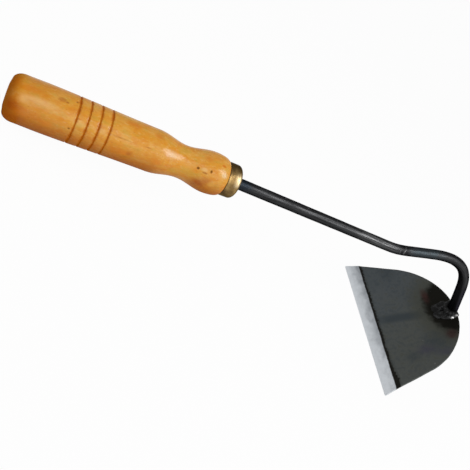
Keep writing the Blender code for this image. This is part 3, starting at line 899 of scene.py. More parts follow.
@dataclass(frozen=True)
class BladeSteel:
    """Plate with its mill scale on, heat-tinted round the weld and ground bright at the edge."""

    shoulder: float
    shoulder_tilt: float
    arc_centre: float
    arc_radius: float
    arc_end: float
    frame_matrix: Matrix = field(compare=False)
    slate: Colour = (0.104, 0.118, 0.126)
    olive: Colour = (0.112, 0.120, 0.112)
    moss: Colour = (0.084, 0.086, 0.066)
    indigo: Colour = (0.058, 0.071, 0.080)
    violet: Colour = (0.084, 0.082, 0.108)
    scorch: Colour = (0.0150, 0.0145, 0.0115)
    plum: Colour = (0.062, 0.032, 0.029)
    speck: Colour = (0.190, 0.195, 0.200)
    ground: Colour = (0.86, 0.90, 0.94)
    ground_dull: Colour = (0.38, 0.405, 0.435)
    ground_side: float = -0.00185
    ground_side_half: float = 0.00004
    line_width: float = 0.0019
    line_flare: float = 0.0024
    flare_fade: Fade = (-0.040, -0.074)
    line_wander: float = 0.0030
    line_fade: Fade = (0.0004, -0.0004)
    fringe_fade: Fade = (0.0026, -0.0004)
    shoulder_wander: float = 0.0009
    shoulder_fade: Fade = (0.00030, -0.00030)
    used_slope: float = 32.0
    used_slope_gain: float = 30.0
    used_fade: Fade = (-0.060, -0.015)
    heat_centre: tuple[float, float] = (0.088, 0.0045)
    heat_reach: tuple[float, float] = (0.0275, 0.0325)
    band_across: float = 0.0008
    band_wander: float = 0.004
    band_fade: Fade = (0.0072, 0.0015)
    band_top: Fade = (0.072, 0.050)
    band_foot: Fade = (0.012, 0.026)
    rim_width: float = 0.0010
    rim_side: Fade = (-0.014, -0.004)
    rim_tint: Colour = (0.5, 0.5, 0.5)

    def rim(self, up: Wire, across: Wire) -> Wire:
        """Mask of a narrow strip along the D's sheared rim, on the side of positive across.

        Args:
            up: distance from the cutting edge.
            across: place across the blade.

        Returns:
            1 on the rim, 0 past the strip.
        """
        rise = up - self.arc_centre
        outwards = rise * cos(self.arc_end) + across * sin(self.arc_end)
        beside = (rise * sin(self.arc_end) - across * cos(self.arc_end)).larger(0.0)
        reach = (outwards * outwards + beside * beside) ** 0.5
        return reach.ramp(self.arc_radius - self.rim_width, self.arc_radius - self.rim_width * 0.4)

    def tints(self) -> tuple[Mark, ...]:
        """The heat colours and specks that stand apart from the scorch."""
        return (
            Mark((0.0652, 0.0205, 0.0), (0.0052, 0.0130, 0.004), self.plum, 0.90, 0.9),
            Mark((0.0753, -0.0272, 0.0), (0.0090, 0.0080, 0.004), self.plum, 0.80, 0.9),
            Mark((0.0580, -0.0330, 0.0), (0.0200, 0.0170, 0.004), self.indigo, 0.55, 0.95),
            Mark((0.0350, -0.0440, 0.0), (0.0110, 0.0080, 0.004), self.indigo, 0.55, 0.95),
            Mark((0.0380, 0.0600, 0.0), (0.0140, 0.0200, 0.004), self.indigo, 0.45, 0.95),
            Mark((0.0490, -0.0390, 0.0), (0.0130, 0.0080, 0.004), self.violet, 0.70, 0.9),
            Mark((0.0640, -0.0440, 0.0), (0.0120, 0.0060, 0.004), self.violet, 0.55, 0.9),
            Mark((0.0509, -0.0548, 0.0), (0.0013, 0.0011, 0.002), self.speck, 0.9),
            Mark((0.0480, -0.0290, 0.0), (0.0009, 0.0007, 0.002), self.speck, 0.7),
            Mark((0.0250, 0.0300, 0.0), (0.0160, 0.0160, 0.004), self.speck, 0.10, 0.9),
        )

    def plate(self, recipe: Recipe, up: Wire, across: Wire, cloud: Wire, mottle: Wire) -> Wire:
        """Colour of the mill scale, with painted shade: slate turning to olive across it, and a dark band
        up its middle.

        Args:
            recipe: the material under way.
            up: distance from the cutting edge.
            across: place across the blade.
            cloud: broad noise.
            mottle: finer noise.

        Returns:
            The colour.
        """
        # Painted shade: slate turning to olive across the plate, and a dark band up its middle
        tilt = (across * -9.0 + up * 4.0 + cloud * 1.4).ramp(0.30, 1.30)
        band = abs(across - self.band_across + (cloud - 0.5) * self.band_wander).ramp(*self.band_fade)
        band = band * up.ramp(*self.band_top) * (up.ramp(*self.band_foot) * 0.45 + 0.35)
        return recipe.layered(
            self.slate,
            (tilt, self.olive),
            (mottle.ramp(0.46, 0.66) * 0.30, self.indigo),
            (mottle.ramp(0.46, 0.30) * 0.40, self.moss),
            (band, self.indigo),
        )

    def heat(self, up: Wire, across: Wire, cloud: Wire, mottle: Wire) -> Wire:
        """Distance from the weld in heat widths, with a wandering edge.

        Args:
            up: distance from the cutting edge.
            across: place across the blade.
            cloud: broad noise.
            mottle: finer noise.

        Returns:
            1 where the scorch ends.
        """
        warp = (cloud - 0.5) * 0.30 + (mottle - 0.5) * 0.30
        rise = (up - self.heat_centre[0]) / self.heat_reach[0]
        lean = (across - self.heat_centre[1]) / self.heat_reach[1]
        return (rise * rise + lean * lean) ** 0.5 + warp

    def make(self) -> bpy.types.Material:
        """Build the material.

        Returns:
            The finished material.
        """
        recipe = Recipe("dark_blade_steel")
        place = recipe.place_in(self.frame_matrix)
        up, across, off = recipe.axes(place)
        cloud = recipe.grain(place, (0.030, 0.030, 0.030), detail=4.0, roughness=0.58)
        mottle = recipe.grain(place, (0.0045, 0.0045, 0.0045), detail=4.0, shift=5.0)
        speckle = recipe.grain(place, (0.0006, 0.0006, 0.0006), detail=2.0, shift=9.0)
        heat = self.heat(up, across, cloud, mottle)
        broken = mottle * 1.6 + 0.2
        # Heat of the weld: near black in the middle, an olive fringe, plum at two places
        colour = recipe.layered(
            self.plate(recipe, up, across, cloud, mottle),
            (speckle.ramp(0.66, 0.80) * 0.35, self.speck),
            (heat.ramp(1.75, 1.10) * 0.65, self.moss),
            (heat.ramp(1.14, 0.84), self.scorch),
            *((mark.share(recipe, place, broken), mark.colour) for mark in self.tints()),
        )
        # The ground edge and the black line that the wheel leaves above it
        ragged = recipe.grain(place, (0.0016, 0.0022, 0.0022), detail=3.0, shift=11.0) - 0.5
        drift = recipe.grain(place, (0.0090, 0.0090, 0.0090), detail=2.0, shift=31.0) - 0.5
        straight = up - self.shoulder - across * self.shoulder_tilt
        past = straight + ragged * self.shoulder_wander + drift * self.shoulder_wander
        face = off.ramp(self.ground_side - self.ground_side_half, self.ground_side + self.ground_side_half)
        thick = across.ramp(*self.flare_fade) * self.line_flare + self.line_width
        beyond = past - thick + ragged * self.line_wander + drift * self.line_wander
        burr = (beyond.ramp(*self.line_fade) + beyond.ramp(*self.fringe_fade) * 0.5).limited() * face
        bright = past.ramp(*self.shoulder_fade) * face
        stroke = recipe.grain(place, (0.0022, 0.00016, 0.010), detail=2.0, shift=13.0)
        patch = recipe.grain(place, (0.005, 0.009, 0.02), detail=3.0, shift=15.0)
        steep = across.ramp(*self.used_fade) * self.used_slope_gain + self.used_slope
        used = (1.0 - up * steep + (patch - 0.5) * 0.7 + (stroke - 0.5) * 0.3).ramp(0.05, 0.95)
        steel = recipe.layered(self.ground_dull, (used, self.ground))
        rim = self.rim(up, across) * across.ramp(*self.rim_side)
        colour = recipe.layered(
            colour,
            (rim * 0.75, self.scorch),
            (burr * 0.95, self.scorch),
            (bright, steel),
        )
        return recipe.dress(
            base_color=colour,
            roughness=cloud * 0.10 + mottle * 0.10 + 0.40 - bright * 0.12 + burr * 0.1,
            normal=recipe.bumps(
                (mottle, 0.00005),
                (speckle * (1 - bright), 0.00003),
                (stroke * bright, 0.000012),
            ),
            metallic=0.92,
            specular_ior_level=0.2,
            specular_tint=self.rim_tint,
        )


@dataclass(frozen=True)
class WeldScale:
    """Black weld metal, with two bright spots painted in as highlights."""

    frame_matrix: Matrix = field(compare=False)
    scale: Colour = (0.012, 0.012, 0.012)
    grey: Colour = (0.075, 0.077, 0.080)
    bare: Colour = (0.62, 0.62, 0.61)

    def painted_glints(self) -> tuple[Mark, ...]:
        """The two painted highlights."""
        return (
            Mark((0.0815, -0.0106, 0.0012), (0.0020, 0.0013, 0.0030), self.bare, 1.0, 0.5),
            Mark((0.0857, -0.0094, 0.0015), (0.0019, 0.0009, 0.0030), self.bare, 0.5, 0.5),
        )

    def make(self) -> bpy.types.Material:
        """Build the material.

        Returns:
            The finished material.
        """
        recipe = Recipe("weld_scale")
        place = recipe.place_in(self.frame_matrix)
        crust = recipe.grain(place, (0.0048, 0.0022, 0.0022), detail=3.0, roughness=0.55)
        fine = recipe.grain(place, (0.0004, 0.0004, 0.0004), detail=2.0, shift=5.0)
        # Painted highlights: two bright spots on the lumps
        inner, outer = [mark.share(recipe, place) for mark in self.painted_glints()]
        bare = (inner + outer).limited() * crust.ramp(0.30, 0.50)
        return recipe.dress(
            base_color=recipe.layered(
                self.scale, (crust.ramp(0.48, 0.72) * 0.65, self.grey), (bare, self.bare)
            ),
            roughness=crust * 0.2 + 0.38 - bare * 0.22,
            normal=recipe.bumps((crust, 0.00050), (fine, 0.00004)),
            metallic=0.85,
        )


# Pieces


@dataclass
class TurnedHandle:
    """The wooden grip: barrel, waist and bulb, and the tenon inside the ferrule."""

    flat_radius: float = 0.0080
    dome_radius: float = 0.0108
    dome_length: float = 0.0006
    corner_length: float = 0.0074
    butt_radius: float = 0.0159
    crown_radius: float = 0.0162
    crown_at: float = 0.0260
    front_radius: float = 0.0154
    barrel_length: float = 0.1010
    waist_at: float = 0.1230
    waist_radius: float = 0.0121
    bulb_at: float = 0.1460
    bulb_radius: float = 0.0155
    length: float = 0.1567
    tenon_radius: float = 0.0116
    tenon_front: float = 0.1667
    tenon_round: float = 0.0030
    bore_radius: float = 0.0047
    bore_shoulder: float = 0.1399
    bore_end: float = 0.0896
    bore_end_radius: float = 0.0023
    seat_radius: float = 0.0128
    first_line: float = 0.0434
    line_pitch: float = 0.0075
    line_count: int = 4
    line_half: float = 0.00075
    line_depth: float = 0.0005
    line_margin: float = 0.0020
    line_dip: tuple[float, ...] = (-1.0, -0.72, -0.45, -0.2, 0.0, 0.2, 0.45, 0.72, 1.0)
    steps: int = 144
    run_steps: int = 18
    plain_steps: int = 8

    @property
    def corner_end(self) -> float:
        """Where the butt's rounded corner runs into the barrel."""
        return self.dome_length + self.corner_length

    def line_places(self) -> tuple[float, ...]:
        """Where the burnt lines run."""
        return tuple(self.first_line + self.line_pitch * number for number in range(self.line_count))

    def barrel_radius(self, along: float) -> float:
        """Radius of the barrel without its lines.

        Args:
            along: distance from the butt.

        Returns:
            The radius there.
        """
        if along < self.crown_at:
            share = (along - self.corner_end) / (self.crown_at - self.corner_end)
            return self.butt_radius + (self.crown_radius - self.butt_radius) * ease(share)
        share = (along - self.crown_at) / (self.barrel_length - self.crown_at)
        return self.crown_radius + (self.front_radius - self.crown_radius) * ease(share)

    def butt_section(self) -> Section:
        """The butt's end, from the axis out to the barrel."""
        reach = (-self.corner_length, self.butt_radius - self.dome_radius)
        corner = quarter((self.corner_end, self.dome_radius), reach, self.run_steps)
        return [(0.0, 0.0), (0.0, self.flat_radius), *corner]

    def barrel_section(self) -> Section:
        """The barrel with its burnt lines, each a rounded dip between soft lips."""
        plain = self.first_line - self.line_margin - self.corner_end
        places = [self.corner_end + plain * share for share in shares(self.plain_steps)]
        points = [(along, self.barrel_radius(along)) for along in places]
        for place in self.line_places():
            for share in self.line_dip:
                along = place + share * self.line_half
                depth = self.line_depth * ease(1 - abs(share))
                points.append((along, self.barrel_radius(along) - depth))
        last = points[-1][0]
        places = [last + (self.barrel_length - last) * share for share in shares(self.run_steps)]
        return points + [(along, self.barrel_radius(along)) for along in places]

    def front_section(self) -> Section:
        """Waist, bulb and nose."""
        stations = [
            (self.barrel_length, self.front_radius),
            (self.waist_at, self.waist_radius),
            (self.bulb_at, self.bulb_radius),
        ]
        points: Section = []
        for (start, low), (end, high) in zip(stations, stations[1:]):
            for share in shares(self.run_steps):
                points.append((start + (end - start) * share, low + (high - low) * ease(share)))
        reach = (self.length - self.bulb_at, self.bulb_radius - self.seat_radius)
        nose = quarter((self.bulb_at, self.seat_radius), reach, self.run_steps)
        return points + nose[-2::-1]

    def bore_section(self) -> Section:
        """Tenon and tapered bore, back to the axis."""
        return [
            (self.length, self.tenon_radius),
            (self.tenon_front - self.tenon_round, self.tenon_radius),
            (self.tenon_front, self.tenon_radius - self.tenon_round),
            (self.tenon_front, self.bore_radius),
            (self.bore_shoulder, self.bore_radius),
            (self.bore_end, self.bore_end_radius),
            (self.bore_end, 0.0),
        ]

    def build(self) -> bpy.types.Object:
        """Turn the grip and dress it.

        Returns:
            The piece.
        """
        section = self.butt_section() + self.barrel_section() + self.front_section()
        shell = spun(section + self.bore_section(), self.steps)
        finish = LacqueredWood(self.line_places(), self.line_half).make()
        return settle(shell, "turned_grip", STANCE.matrix, finish, "handle")


@dataclass
class FerruleCap:
    """The brass cap on the handle's nose."""

    back: float = 0.1570
    front: float = 0.1679
    radius: float = 0.0128
    wall: float = 0.0009
    corner: float = 0.0030
    hole_radius: float = 0.0048
    lip: float = 0.0002
    steps: int = 128
    corner_steps: int = 12

    def build(self) -> bpy.types.Object:
        """Turn the cap and dress it.

        Returns:
            The piece.
        """
        centre = (self.front - self.corner, self.radius - self.corner)
        inside = self.corner - self.wall
        section = [
            (self.front - self.lip, self.hole_radius),
            (self.front, self.hole_radius + self.lip),
            *quarter(centre, (self.corner, self.corner), self.corner_steps),
            (self.back + self.lip, self.radius),
            (self.back, self.radius - self.lip),
            (self.back, self.radius - self.wall),
            *reversed(quarter(centre, (inside, inside), self.corner_steps)),
            (self.front - self.wall, self.hole_radius),
        ]
        shell = spun(section, self.steps, closed=True)
        finish = AgedBrass(front_edge=self.front, back_edge=self.back).make()
        return settle(shell, "ferrule_cap", STANCE.matrix, finish, "ferrule")


@dataclass(frozen=True)
class Run:
    """One stretch of the rod's centre line."""

    length: float
    angle: float = 0.0
    widens: bool = False


@dataclass(frozen=True)
class Station:
    """One ring of the rod: its place, heading, distance along the rod and share of widening."""

    place: Vector
    heading: float
    along: float
    widened: float

    def matrix(self, depth: float, width: float) -> Matrix:
        """Frame that takes a unit circle to this ring, its depth in the plane of the bends."""
        turn = Matrix.Rotation(-self.heading, 4, "Y") @ Matrix.Rotation(QUARTER_TURN, 4, "Y")
        return Matrix.Translation(self.place) @ turn @ Matrix.Diagonal((depth, width, 1, 1))


@dataclass
class SwanNeck:
    """The rod: tang, reach, crest, and the drop that is forged wider than it is deep."""

    PLACE_LAYER = "rod_place"
    start: float
    tang_shoulder: float
    radius: float = 0.0044
    tang_tip: float = 0.0899
    tang_radius: float = 0.0020
    drop_depth: float = 0.0046
    drop_width: float = 0.0053
    bend_step: float = radians(2.5)
    straight_step: float = 0.0035
    sides: int = 40
    overrun: float = 0.0020
    trim: float = 0.00005
    dent: float = 0.00005
    swell: Waves = Waves(140, 420, 0.5)
    runs: tuple[Run, ...] = (
        Run(0.0060, radians(-1.6)),
        Run(0.1419),
        Run(0.0270, radians(16.7)),
        Run(0.0156),
        Run(0.0791, radians(-76.4), widens=True),
        Run(0.0233),
    )

    @staticmethod
    def ahead(heading: float) -> Vector:
        """Unit vector along the rod."""
        return Vector((cos(heading), 0, sin(heading)))

    def route(self) -> list[Station]:
        """The rings from the ferrule to the foot."""
        place, heading, along, widened = Vector((self.start, 0, 0)), 0.0, 0.0, 0.0
        stations = [Station(place.copy(), heading, along, widened)]
        for run in self.runs:
            bends = round(abs(run.angle) / self.bend_step)
            steps = max(1, bends, round(run.length / self.straight_step))
            first = heading
            for step in range(1, steps + 1):
                heading = first + run.angle * ease((step - 0.5) / steps)
                place += self.ahead(heading) * (run.length / steps)
                along += run.length / steps
                if run.widens:
                    widened = ease(step / steps)
                stations.append(Station(place.copy(), heading, along, widened))
            heading = first + run.angle
        return stations

    def foot(self) -> Station:
        """Where the centre line meets the blade."""
        last = self.route()[-1]
        total = sum(run.angle for run in self.runs)
        return Station(last.place, total, last.along, last.widened)

    def rings(self) -> list[tuple[Station, float, float]]:
        """All rings with their half-depth and half-width, tang and overrun included."""
        rings = []
        for along, radius in ((self.tang_tip, self.tang_radius), (self.tang_shoulder, self.radius)):
            rings.append((Station(Vector((along, 0, 0)), 0.0, along - self.start, 0.0), radius, radius))
        for station in self.route():
            depth = self.radius + (self.drop_depth - self.radius) * station.widened
            width = self.radius + (self.drop_width - self.radius) * station.widened
            rings.append((station, depth, width))
        foot = self.foot()
        end = foot.place + self.ahead(foot.heading) * self.overrun
        last = Station(end, foot.heading, foot.along + self.overrun, 1.0)
        return rings + [(last, self.drop_depth, self.drop_width)]

    def tube(self) -> bmesh.types.BMesh:
        """Extrude a circle from ring to ring, and note on each corner its place along the bar."""
        shell = bmesh.new()
        layer = shell.verts.layers.float_vector.new(self.PLACE_LAYER)
        circle = bmesh.ops.create_circle(shell, cap_ends=True, segments=self.sides, radius=1.0)
        ring, edges = circle["verts"], shell.edges[:]
        here = Matrix.Identity(4)
        for number, (station, depth, width) in enumerate(self.rings()):
            if number:
                grown = bmesh.ops.extrude_edge_only(shell, edges=edges)["geom"]
                ring, edges = only(grown, bmesh.types.BMVert), only(grown, bmesh.types.BMEdge)
            target = station.matrix(depth, width)
            bmesh.ops.transform(shell, matrix=target @ here.inverted(), verts=ring)
            here = target
            for corner in ring:
                local = target.inverted() @ corner.co
                corner[layer] = (station.along, local.x * self.radius, local.y * self.radius)
        bmesh.ops.contextual_create(shell, geom=edges)
        return shell

    def build(self, blade_matrix: Matrix) -> bpy.types.Object:
        """Make the rod, roughen it as rolled bar is, trim it at the blade and dress it.

        Args:
            blade_matrix: frame of the blade's face, in the tool's frame.

        Returns:
            The piece.
        """
        shell = self.tube()
        shell.normal_update()
        layer = shell.verts.layers.float_vector[self.PLACE_LAYER]
        for corner in shell.verts:
            place = Vector(corner[layer])
            # The tang's places are below zero, and it stays smooth
            if place.x > 0:
                corner.co += corner.normal * self.swell.at(place) * self.dent
        off_face = blade_matrix.to_3x3() @ UPWARDS
        rim = cut_back(shell, blade_matrix.to_translation() + off_face * self.trim, off_face)
        bmesh.ops.contextual_create(shell, geom=rim)
        finish = BlackRodSteel().make()
        return settle(shell, "swan_neck_rod", STANCE.matrix, finish, "neck")


@dataclass
class HoeBlade:
    """The D-shaped plate: wavy sheared rim, hollow-ground edge."""

    foot_place: Vector
    width: float = 0.1546
    depth: float = 0.0884
    crown_radius: float = 0.0646
    corner_radius: float = 0.0012
    thickness: float = 0.0020
    rise: float = radians(38.2)
    edge_thickness: float = 0.0004
    grind: float = 0.0122
    wheel_radius: float = 0.150
    foot_from_crown: float = 0.0030
    shoulder_tilt: float = 0.0146
    blend_length: float = 0.040
    grid: float = 0.0040
    grind_rows: int = 8
    rim_sway: Waves = Waves(90, 310, 0.6)
    rim_calm: float = 0.2
    rim_wave: float = 0.00022
    rim_bevel: float = 0.00028
    rim_angle: float = radians(60)
    bevel_steps: int = 2
    corner_steps: int = 4
    crown_steps: int = 72
    sharp: float = radians(7)

    @property
    def foot(self) -> float:
        """How far up the blade the rod's foot lands."""
        return self.depth - self.foot_from_crown

    @property
    def matrix(self) -> Matrix:
        """Frame on the face over the cutting edge: +X up the blade, +Z off the face."""
        turn = Matrix.Rotation(-self.rise, 4, "Y")
        up = turn @ Vector((1, 0, 0))
        return Matrix.Translation(self.foot_place - up * self.foot) @ turn

    @property
    def edge_corner(self) -> Vector:
        """The sharp corner of the cutting edge, as (up, across)."""
        return Vector((0, self.width / 2))

    @property
    def arc_centre(self) -> Vector:
        """Middle of the crown's arc, as (up, across)."""
        return Vector((self.depth - self.crown_radius, 0))

    @property
    def arc_end(self) -> float:
        """Angle about the crown's middle at which the straight side leaves the arc."""
        inwards = self.arc_centre - self.edge_corner
        return atan2(inwards.y, inwards.x) + asin(self.crown_radius / inwards.length) + QUARTER_TURN

    def on_arc(self, angle: float) -> Vector:
        """Point of the crown's arc, as (up, across)."""
        return self.arc_centre + Vector((cos(angle), sin(angle))) * self.crown_radius

    def half_outline(self) -> list[Vector]:
        """Corner, straight side and half of the crown's arc, as (up, across)."""
        heading = self.arc_end - QUARTER_TURN
        side = Vector((cos(heading), sin(heading)))
        setback = self.corner_radius / tan(acos(side.dot(Vector((0, -1)))) / 2)
        points = []
        for share in [0.0, *shares(self.corner_steps)]:
            start = self.edge_corner + Vector((0, -setback)) * (1 - share)
            end = self.edge_corner + side * setback * share
            points.append(start * (1 - share) + end * share)
        last = points[-1]
        straight = self.on_arc(self.arc_end) - last
        count = max(2, round(straight.length / self.grid * 2))
        points += [last + straight * step / count for step in range(1, count)]
        for share in [0.0, *shares(self.crown_steps // 2)]:
            points.append(self.on_arc(self.arc_end * (1 - share)))
        return points

    def sheet(self) -> bmesh.types.BMesh:
        """The D as one flat face, cut into a grid that can bend."""
        half = self.half_outline()
        outline = half + [Vector((point.x, -point.y)) for point in reversed(half[:-1])]
        shell = bmesh.new()
        shell.faces.new([shell.verts.new((point.x, point.y, 0)) for point in outline])
        rows = [self.grind * share for share in shares(self.grind_rows)]
        while rows[-1] + self.grid < self.depth:
            rows.append(rows[-1] + self.grid)
        reach = round(self.width / 2 / self.grid)
        columns = [self.grid * number for number in range(-reach, reach + 1)]
        for direction, places in ((Vector((1, 0, 0)), rows), (Vector((0, 1, 0)), columns)):
            for place in places:
                bmesh.ops.bisect_plane(
                    shell,
                    geom=whole(shell),
                    dist=MERGE_DISTANCE,
                    plane_co=direction * place,
                    plane_no=direction,
                )
        return shell

    def plate(self) -> bmesh.types.BMesh:
        """The sheet at its full thickness, its rim a little wavy and bevelled."""
        shell = self.sheet()
        for corner in shell.verts:
            if corner.is_boundary and corner.co.x > self.grind:
                outwards = Vector((corner.co.x - self.depth / 2, corner.co.y, 0)).normalized()
                sway = min(0.0, self.rim_sway.at(corner.co) - self.rim_calm)
                corner.co += outwards * sway * self.rim_wave
        bmesh.ops.recalc_face_normals(shell, faces=shell.faces)
        faces = shell.faces[:]
        if faces[0].normal.z < 0:
            bmesh.ops.reverse_faces(shell, faces=faces)
        lowered = bmesh.ops.extrude_face_region(shell, geom=faces)["geom"]
        back = only(lowered, bmesh.types.BMVert)
        bmesh.ops.translate(shell, vec=UPWARDS * -self.thickness, verts=back)
        bmesh.ops.recalc_face_normals(shell, faces=shell.faces)
        shell.normal_update()
        rim = [
            edge
            for edge in shell.edges
            if edge.calc_face_angle(0) > self.rim_angle
            and min(corner.co.x for corner in edge.verts) > self.grind
        ]
        bmesh.ops.bevel(
            shell,
            geom=rim,
            offset=self.rim_bevel,
            offset_type="OFFSET",
            affect="EDGES",
            segments=self.bevel_steps,
            profile=0.5,
            material=-1,
        )
        return shell

    def ground(self, up: float) -> float:
        """Height of the hollow-ground face.

        Args:
            up: distance from the cutting edge.

        Returns:
            Height against the blade's face, 0 past the shoulder.
        """
        share = min(1.0, up / self.grind)
        drop = self.thickness - self.edge_thickness
        hollow = self.grind**2 / (2 * self.wheel_radius)
        return -drop * (1 - share) - hollow * share * (1 - share)

    def build(self) -> bpy.types.Object:
        """Make the plate, grind it and dress it.

        Returns:
            The piece.
        """
        shell = self.plate()
        for corner in shell.verts:
            if corner.co.z > -self.thickness / 2:
                corner.co.z += self.ground(corner.co.x)
            # The shoulder leans a little, full at its own place and gone at both ends
            near = min(corner.co.x / self.grind, 1.0)
            far = min(1.0, max(0.0, (self.blend_length - corner.co.x) / (self.blend_length - self.grind)))
            corner.co.x += self.shoulder_tilt * corner.co.y * near * far
        placed = STANCE.matrix @ self.matrix
        finish = BladeSteel(
            shoulder=self.grind,
            shoulder_tilt=self.shoulder_tilt,
            arc_centre=self.arc_centre.x,
            arc_radius=self.crown_radius,
            arc_end=self.arc_end,
            frame_matrix=placed,
        ).make()
        return settle(shell, "blade_plate", placed, finish, "blade", self.sharp)


@dataclass
class WeldRun:
    """The lumpy weld round the rod's foot, its pad towards the edge, and spatter."""

    frame_matrix: Matrix
    foot: float
    ring_radius: float = 0.0034
    ring_height: float = 0.0040
    ring_depth: float = 0.0058
    ring_width: float = 0.0065
    ring_count: int = 9
    pad_radius: float = 0.0046
    pad_rows: tuple[Place, ...] = (
        (0.0779, 0.0064, 0.0027),
        (0.07415, 0.0050, 0.0023),
        (0.0704, 0.0036, 0.0019),
    )
    drip_place: Place = (0.0822, -0.0084, 0.0)
    drip_size: Place = (0.0034, 0.0024, 0.0022)
    lump_detail: int = 4
    voxel: float = 0.00028
    flow_steps: int = 4
    waves: Waves = Waves(440, 1300, 0.25, drawn_out=0.45)
    ripple: float = 0.00046
    trim: float = 0.00003
    seed: int = 11
    spatter_count: int = 26
    spatter_angle: tuple[float, float] = (0.55 * pi, 1.45 * pi)
    spatter_reach: tuple[float, float] = (0.013, 0.026)
    spatter_radius: tuple[float, float] = (0.00018, 0.00045)
    spatter_from_foot: float = 0.006
    spatter_lift: float = 0.35
    spatter_height: float = 0.7
    spatter_detail: int = 2
    sharp: float = radians(80)

    def lumps(self) -> list[tuple[Place, Place]]:
        """Centres and half-lengths of the lumps, in the blade's frame."""
        ring_size = (self.ring_radius, self.ring_radius, self.ring_height)
        found = []
        for number in range(self.ring_count):
            angle = pi + pi * (number / (self.ring_count - 1) - 0.5)
            centre = (self.foot + self.ring_depth * cos(angle), self.ring_width * sin(angle), 0.0)
            found.append((centre, ring_size))
        for up, across, height in self.pad_rows:
            for side in (-1, 1):
                found.append(((up, across * side, 0.0), (self.pad_radius, self.pad_radius, height)))
        return found + [(self.drip_place, self.drip_size)]

    def add_ball(self, shell: bmesh.types.BMesh, place: Place, size: Place, detail: int) -> None:
        """Add an ellipsoid of the given half-lengths to a shell."""
        matrix = Matrix.Translation(place) @ Matrix.Diagonal((*size, 1))
        bmesh.ops.create_icosphere(shell, subdivisions=detail, radius=1.0, matrix=matrix)

    def melted(self) -> bmesh.types.BMesh:
        """The lumps run together into one skin."""
        shell = bmesh.new()
        for place, size in self.lumps():
            self.add_ball(shell, place, size, self.lump_detail)
        mesh = mesh_from(shell, "weld_lumps")
        holder = set_down("weld_lumps", mesh)
        remesh = holder.modifiers.new("melt", "REMESH")
        remesh.mode = "VOXEL"
        remesh.voxel_size = self.voxel
        smooth = holder.modifiers.new("flow", "SMOOTH")
        smooth.iterations = self.flow_steps
        bpy.context.view_layer.update()
        merged = holder.evaluated_get(bpy.context.evaluated_depsgraph_get()).to_mesh()
        melted = bmesh.new()
        melted.from_mesh(merged)
        bpy.data.objects.remove(holder)
        bpy.data.meshes.remove(mesh)
        return melted

    def spatter(self, shell: bmesh.types.BMesh) -> None:
        """Scatter small balls of metal on the face towards the cutting edge.

        Args:
            shell: what they are added to.
        """
        chance = random.Random(self.seed)
        for _number in range(self.spatter_count):
            angle = chance.uniform(*self.spatter_angle)
            reach = chance.uniform(*self.spatter_reach)
            size = chance.uniform(*self.spatter_radius)
            up = self.foot - self.spatter_from_foot + reach * cos(angle)
            place = (up, reach * sin(angle), size * self.spatter_lift)
            self.add_ball(shell, place, (size, size, size * self.spatter_height), self.spatter_detail)

    def build(self) -> bpy.types.Object:
        """Melt the lumps together, ripple them, trim them at the blade's face and dress them.

        Returns:
            The piece.
        """
        shell = self.melted()
        shell.normal_update()
        for corner in shell.verts:
            corner.co += corner.normal * self.waves.at(corner.co) * self.ripple
        rim = cut_back(shell, UPWARDS * self.trim, UPWARDS)
        bmesh.ops.holes_fill(shell, edges=rim, sides=0)
        self.spatter(shell)
        placed = STANCE.matrix @ self.frame_matrix
        finish = WeldScale(placed).make()
        return settle(shell, "weld_run", placed, finish, "weld_bead", self.sharp)


# Studio


@dataclass(frozen=True)
class Softbox:
    """A rectangular lamp: where it hangs, what it points at, its sides and its brightness."""

    name: str
    place: Place
    aim: Place
    sides: tuple[float, float]
    radiance: float

    def hang(self) -> None:
        """Add the lamp."""
        lamp = bpy.data.lights.new(self.name, "AREA")
        lamp.shape = "RECTANGLE"
        lamp.size, lamp.size_y = self.sides
        lamp.energy = self.radiance * pi * self.sides[0] * self.sides[1]
        holder = set_down(self.name, lamp)
        holder.location = self.place
        aim = Vector(self.aim) - Vector(self.place)
        holder.rotation_euler = aim.to_track_quat("-Z", "Y").to_euler()


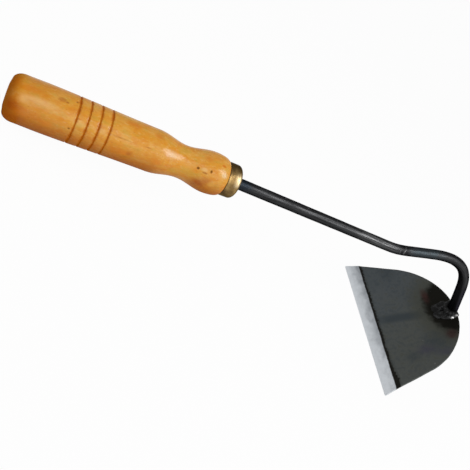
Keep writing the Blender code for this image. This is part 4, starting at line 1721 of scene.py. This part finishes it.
@dataclass
class Studio:
    """Pale floor, soft lamps and the camera at the photograph's angle, set in the tool's frame."""

    camera_place: Place = (-0.02045, -0.36772, 0.24472)
    camera_ahead: Place = (0.41718, 0.71218, -0.56459)
    camera_up: Place = (-0.29890, 0.69418, 0.65480)
    focal_pixels: float = 650.0
    picture_pixels: float = 470.0
    sensor: float = 36.0
    clip_start: float = 0.01
    floor_size: float = 400.0
    floor_drop: float = 0.0003
    white: Colour = (1.0, 1.0, 1.0)
    paper: float = 0.62
    glow_share: float = 0.96
    horizon: float = 0.98
    zenith: float = 0.50
    zenith_from: float = 0.45
    lamps: tuple[Softbox, ...] = (
        Softbox("side_softbox", (0.05, -0.90, 0.86), (0.0, 0.0, 0.05), (1.8, 0.95), 1.18),
        Softbox("key_softbox", (0.44, -0.52, 0.93), (-0.1, 0.0, 0.05), (0.36, 0.64), 6.2),
    )

    def camera(self) -> None:
        """Set the camera."""
        lens = bpy.data.cameras.new("camera")
        lens.sensor_width = self.sensor
        lens.lens = self.sensor * self.focal_pixels / self.picture_pixels
        lens.clip_start, lens.clip_end = self.clip_start, self.floor_size
        ahead = Vector(self.camera_ahead).normalized()
        right = ahead.cross(Vector(self.camera_up)).normalized()
        turn = Matrix((right, right.cross(ahead), -ahead)).transposed().to_4x4()
        holder = set_down("camera", lens)
        holder.matrix_world = STANCE.matrix @ Matrix.Translation(self.camera_place) @ turn
        bpy.context.scene.camera = holder

    def floor(self) -> None:
        """Lay the floor: white to the camera and in reflections, with the object's shadow."""
        shell = bmesh.new()
        bmesh.ops.create_grid(shell, x_segments=1, y_segments=1, size=self.floor_size / 2)
        bmesh.ops.translate(shell, vec=UPWARDS * -self.floor_drop, verts=shell.verts)
        mesh = mesh_from(shell, "floor")
        recipe = Recipe("floor_paper")
        paper = recipe.node("ShaderNodeBsdfDiffuse", {}, {"Color": (self.paper,) * 3})
        glow = recipe.node("ShaderNodeEmission", {}, {"Color": self.white, "Strength": 1.0})
        seen = recipe.node("ShaderNodeLightPath", {}, {}, "Is Camera Ray")
        seen = seen + seen.beside("Is Glossy Ray") + seen.beside("Is Transmission Ray")
        share = seen.limited() * self.glow_share
        mixed = recipe.node("ShaderNodeMixShader", {}, {0: share, 1: paper, 2: glow})
        recipe.feed(recipe.tree.nodes["Material Output"].inputs["Surface"], mixed)
        mesh.materials.append(recipe.material)
        floor = set_down("floor", mesh)

    def sky(self) -> None:
        """Fill the room: pale low down, dimmer overhead."""
        world = bpy.data.worlds.new("room")
        world.use_nodes = True
        bpy.context.scene.world = world
        room = Wiring(world.node_tree)
        facing = room.node("ShaderNodeTexCoord", {}, {}, "Generated")
        ends = {
            "Value": room.axes(facing)[2],
            "From Min": 0.0,
            "From Max": self.zenith_from,
            "To Min": self.horizon,
            "To Max": self.zenith,
        }
        strength = room.node("ShaderNodeMapRange", {"interpolation_type": "SMOOTHSTEP"}, ends)
        background = room.tree.nodes["Background"]
        room.feed(background.inputs["Strength"], strength)
        room.feed(background.inputs["Color"], self.white)

    def build(self) -> None:
        """Set camera, floor, room and lamps."""
        self.camera()
        self.floor()
        self.sky()
        for lamp in self.lamps:
            lamp.hang()
        bpy.context.scene.view_settings.view_transform = "Standard"


def main() -> None:
    """Build the studio, then the tool from butt to blade, and report each piece."""
    logging.basicConfig(level=logging.INFO, format="%(name)s %(message)s")
    Studio().build()
    grip, cap = TurnedHandle(), FerruleCap()
    neck = SwanNeck(start=cap.front, tang_shoulder=grip.bore_shoulder)
    blade = HoeBlade(neck.foot().place)
    weld = WeldRun(blade.matrix, blade.foot)
    for piece in (grip.build(), cap.build(), neck.build(blade.matrix), blade.build(), weld.build()):
        LOG.info("%s: %d faces", piece.name, len(piece.data.polygons))


if __name__ == "__main__":
    main()
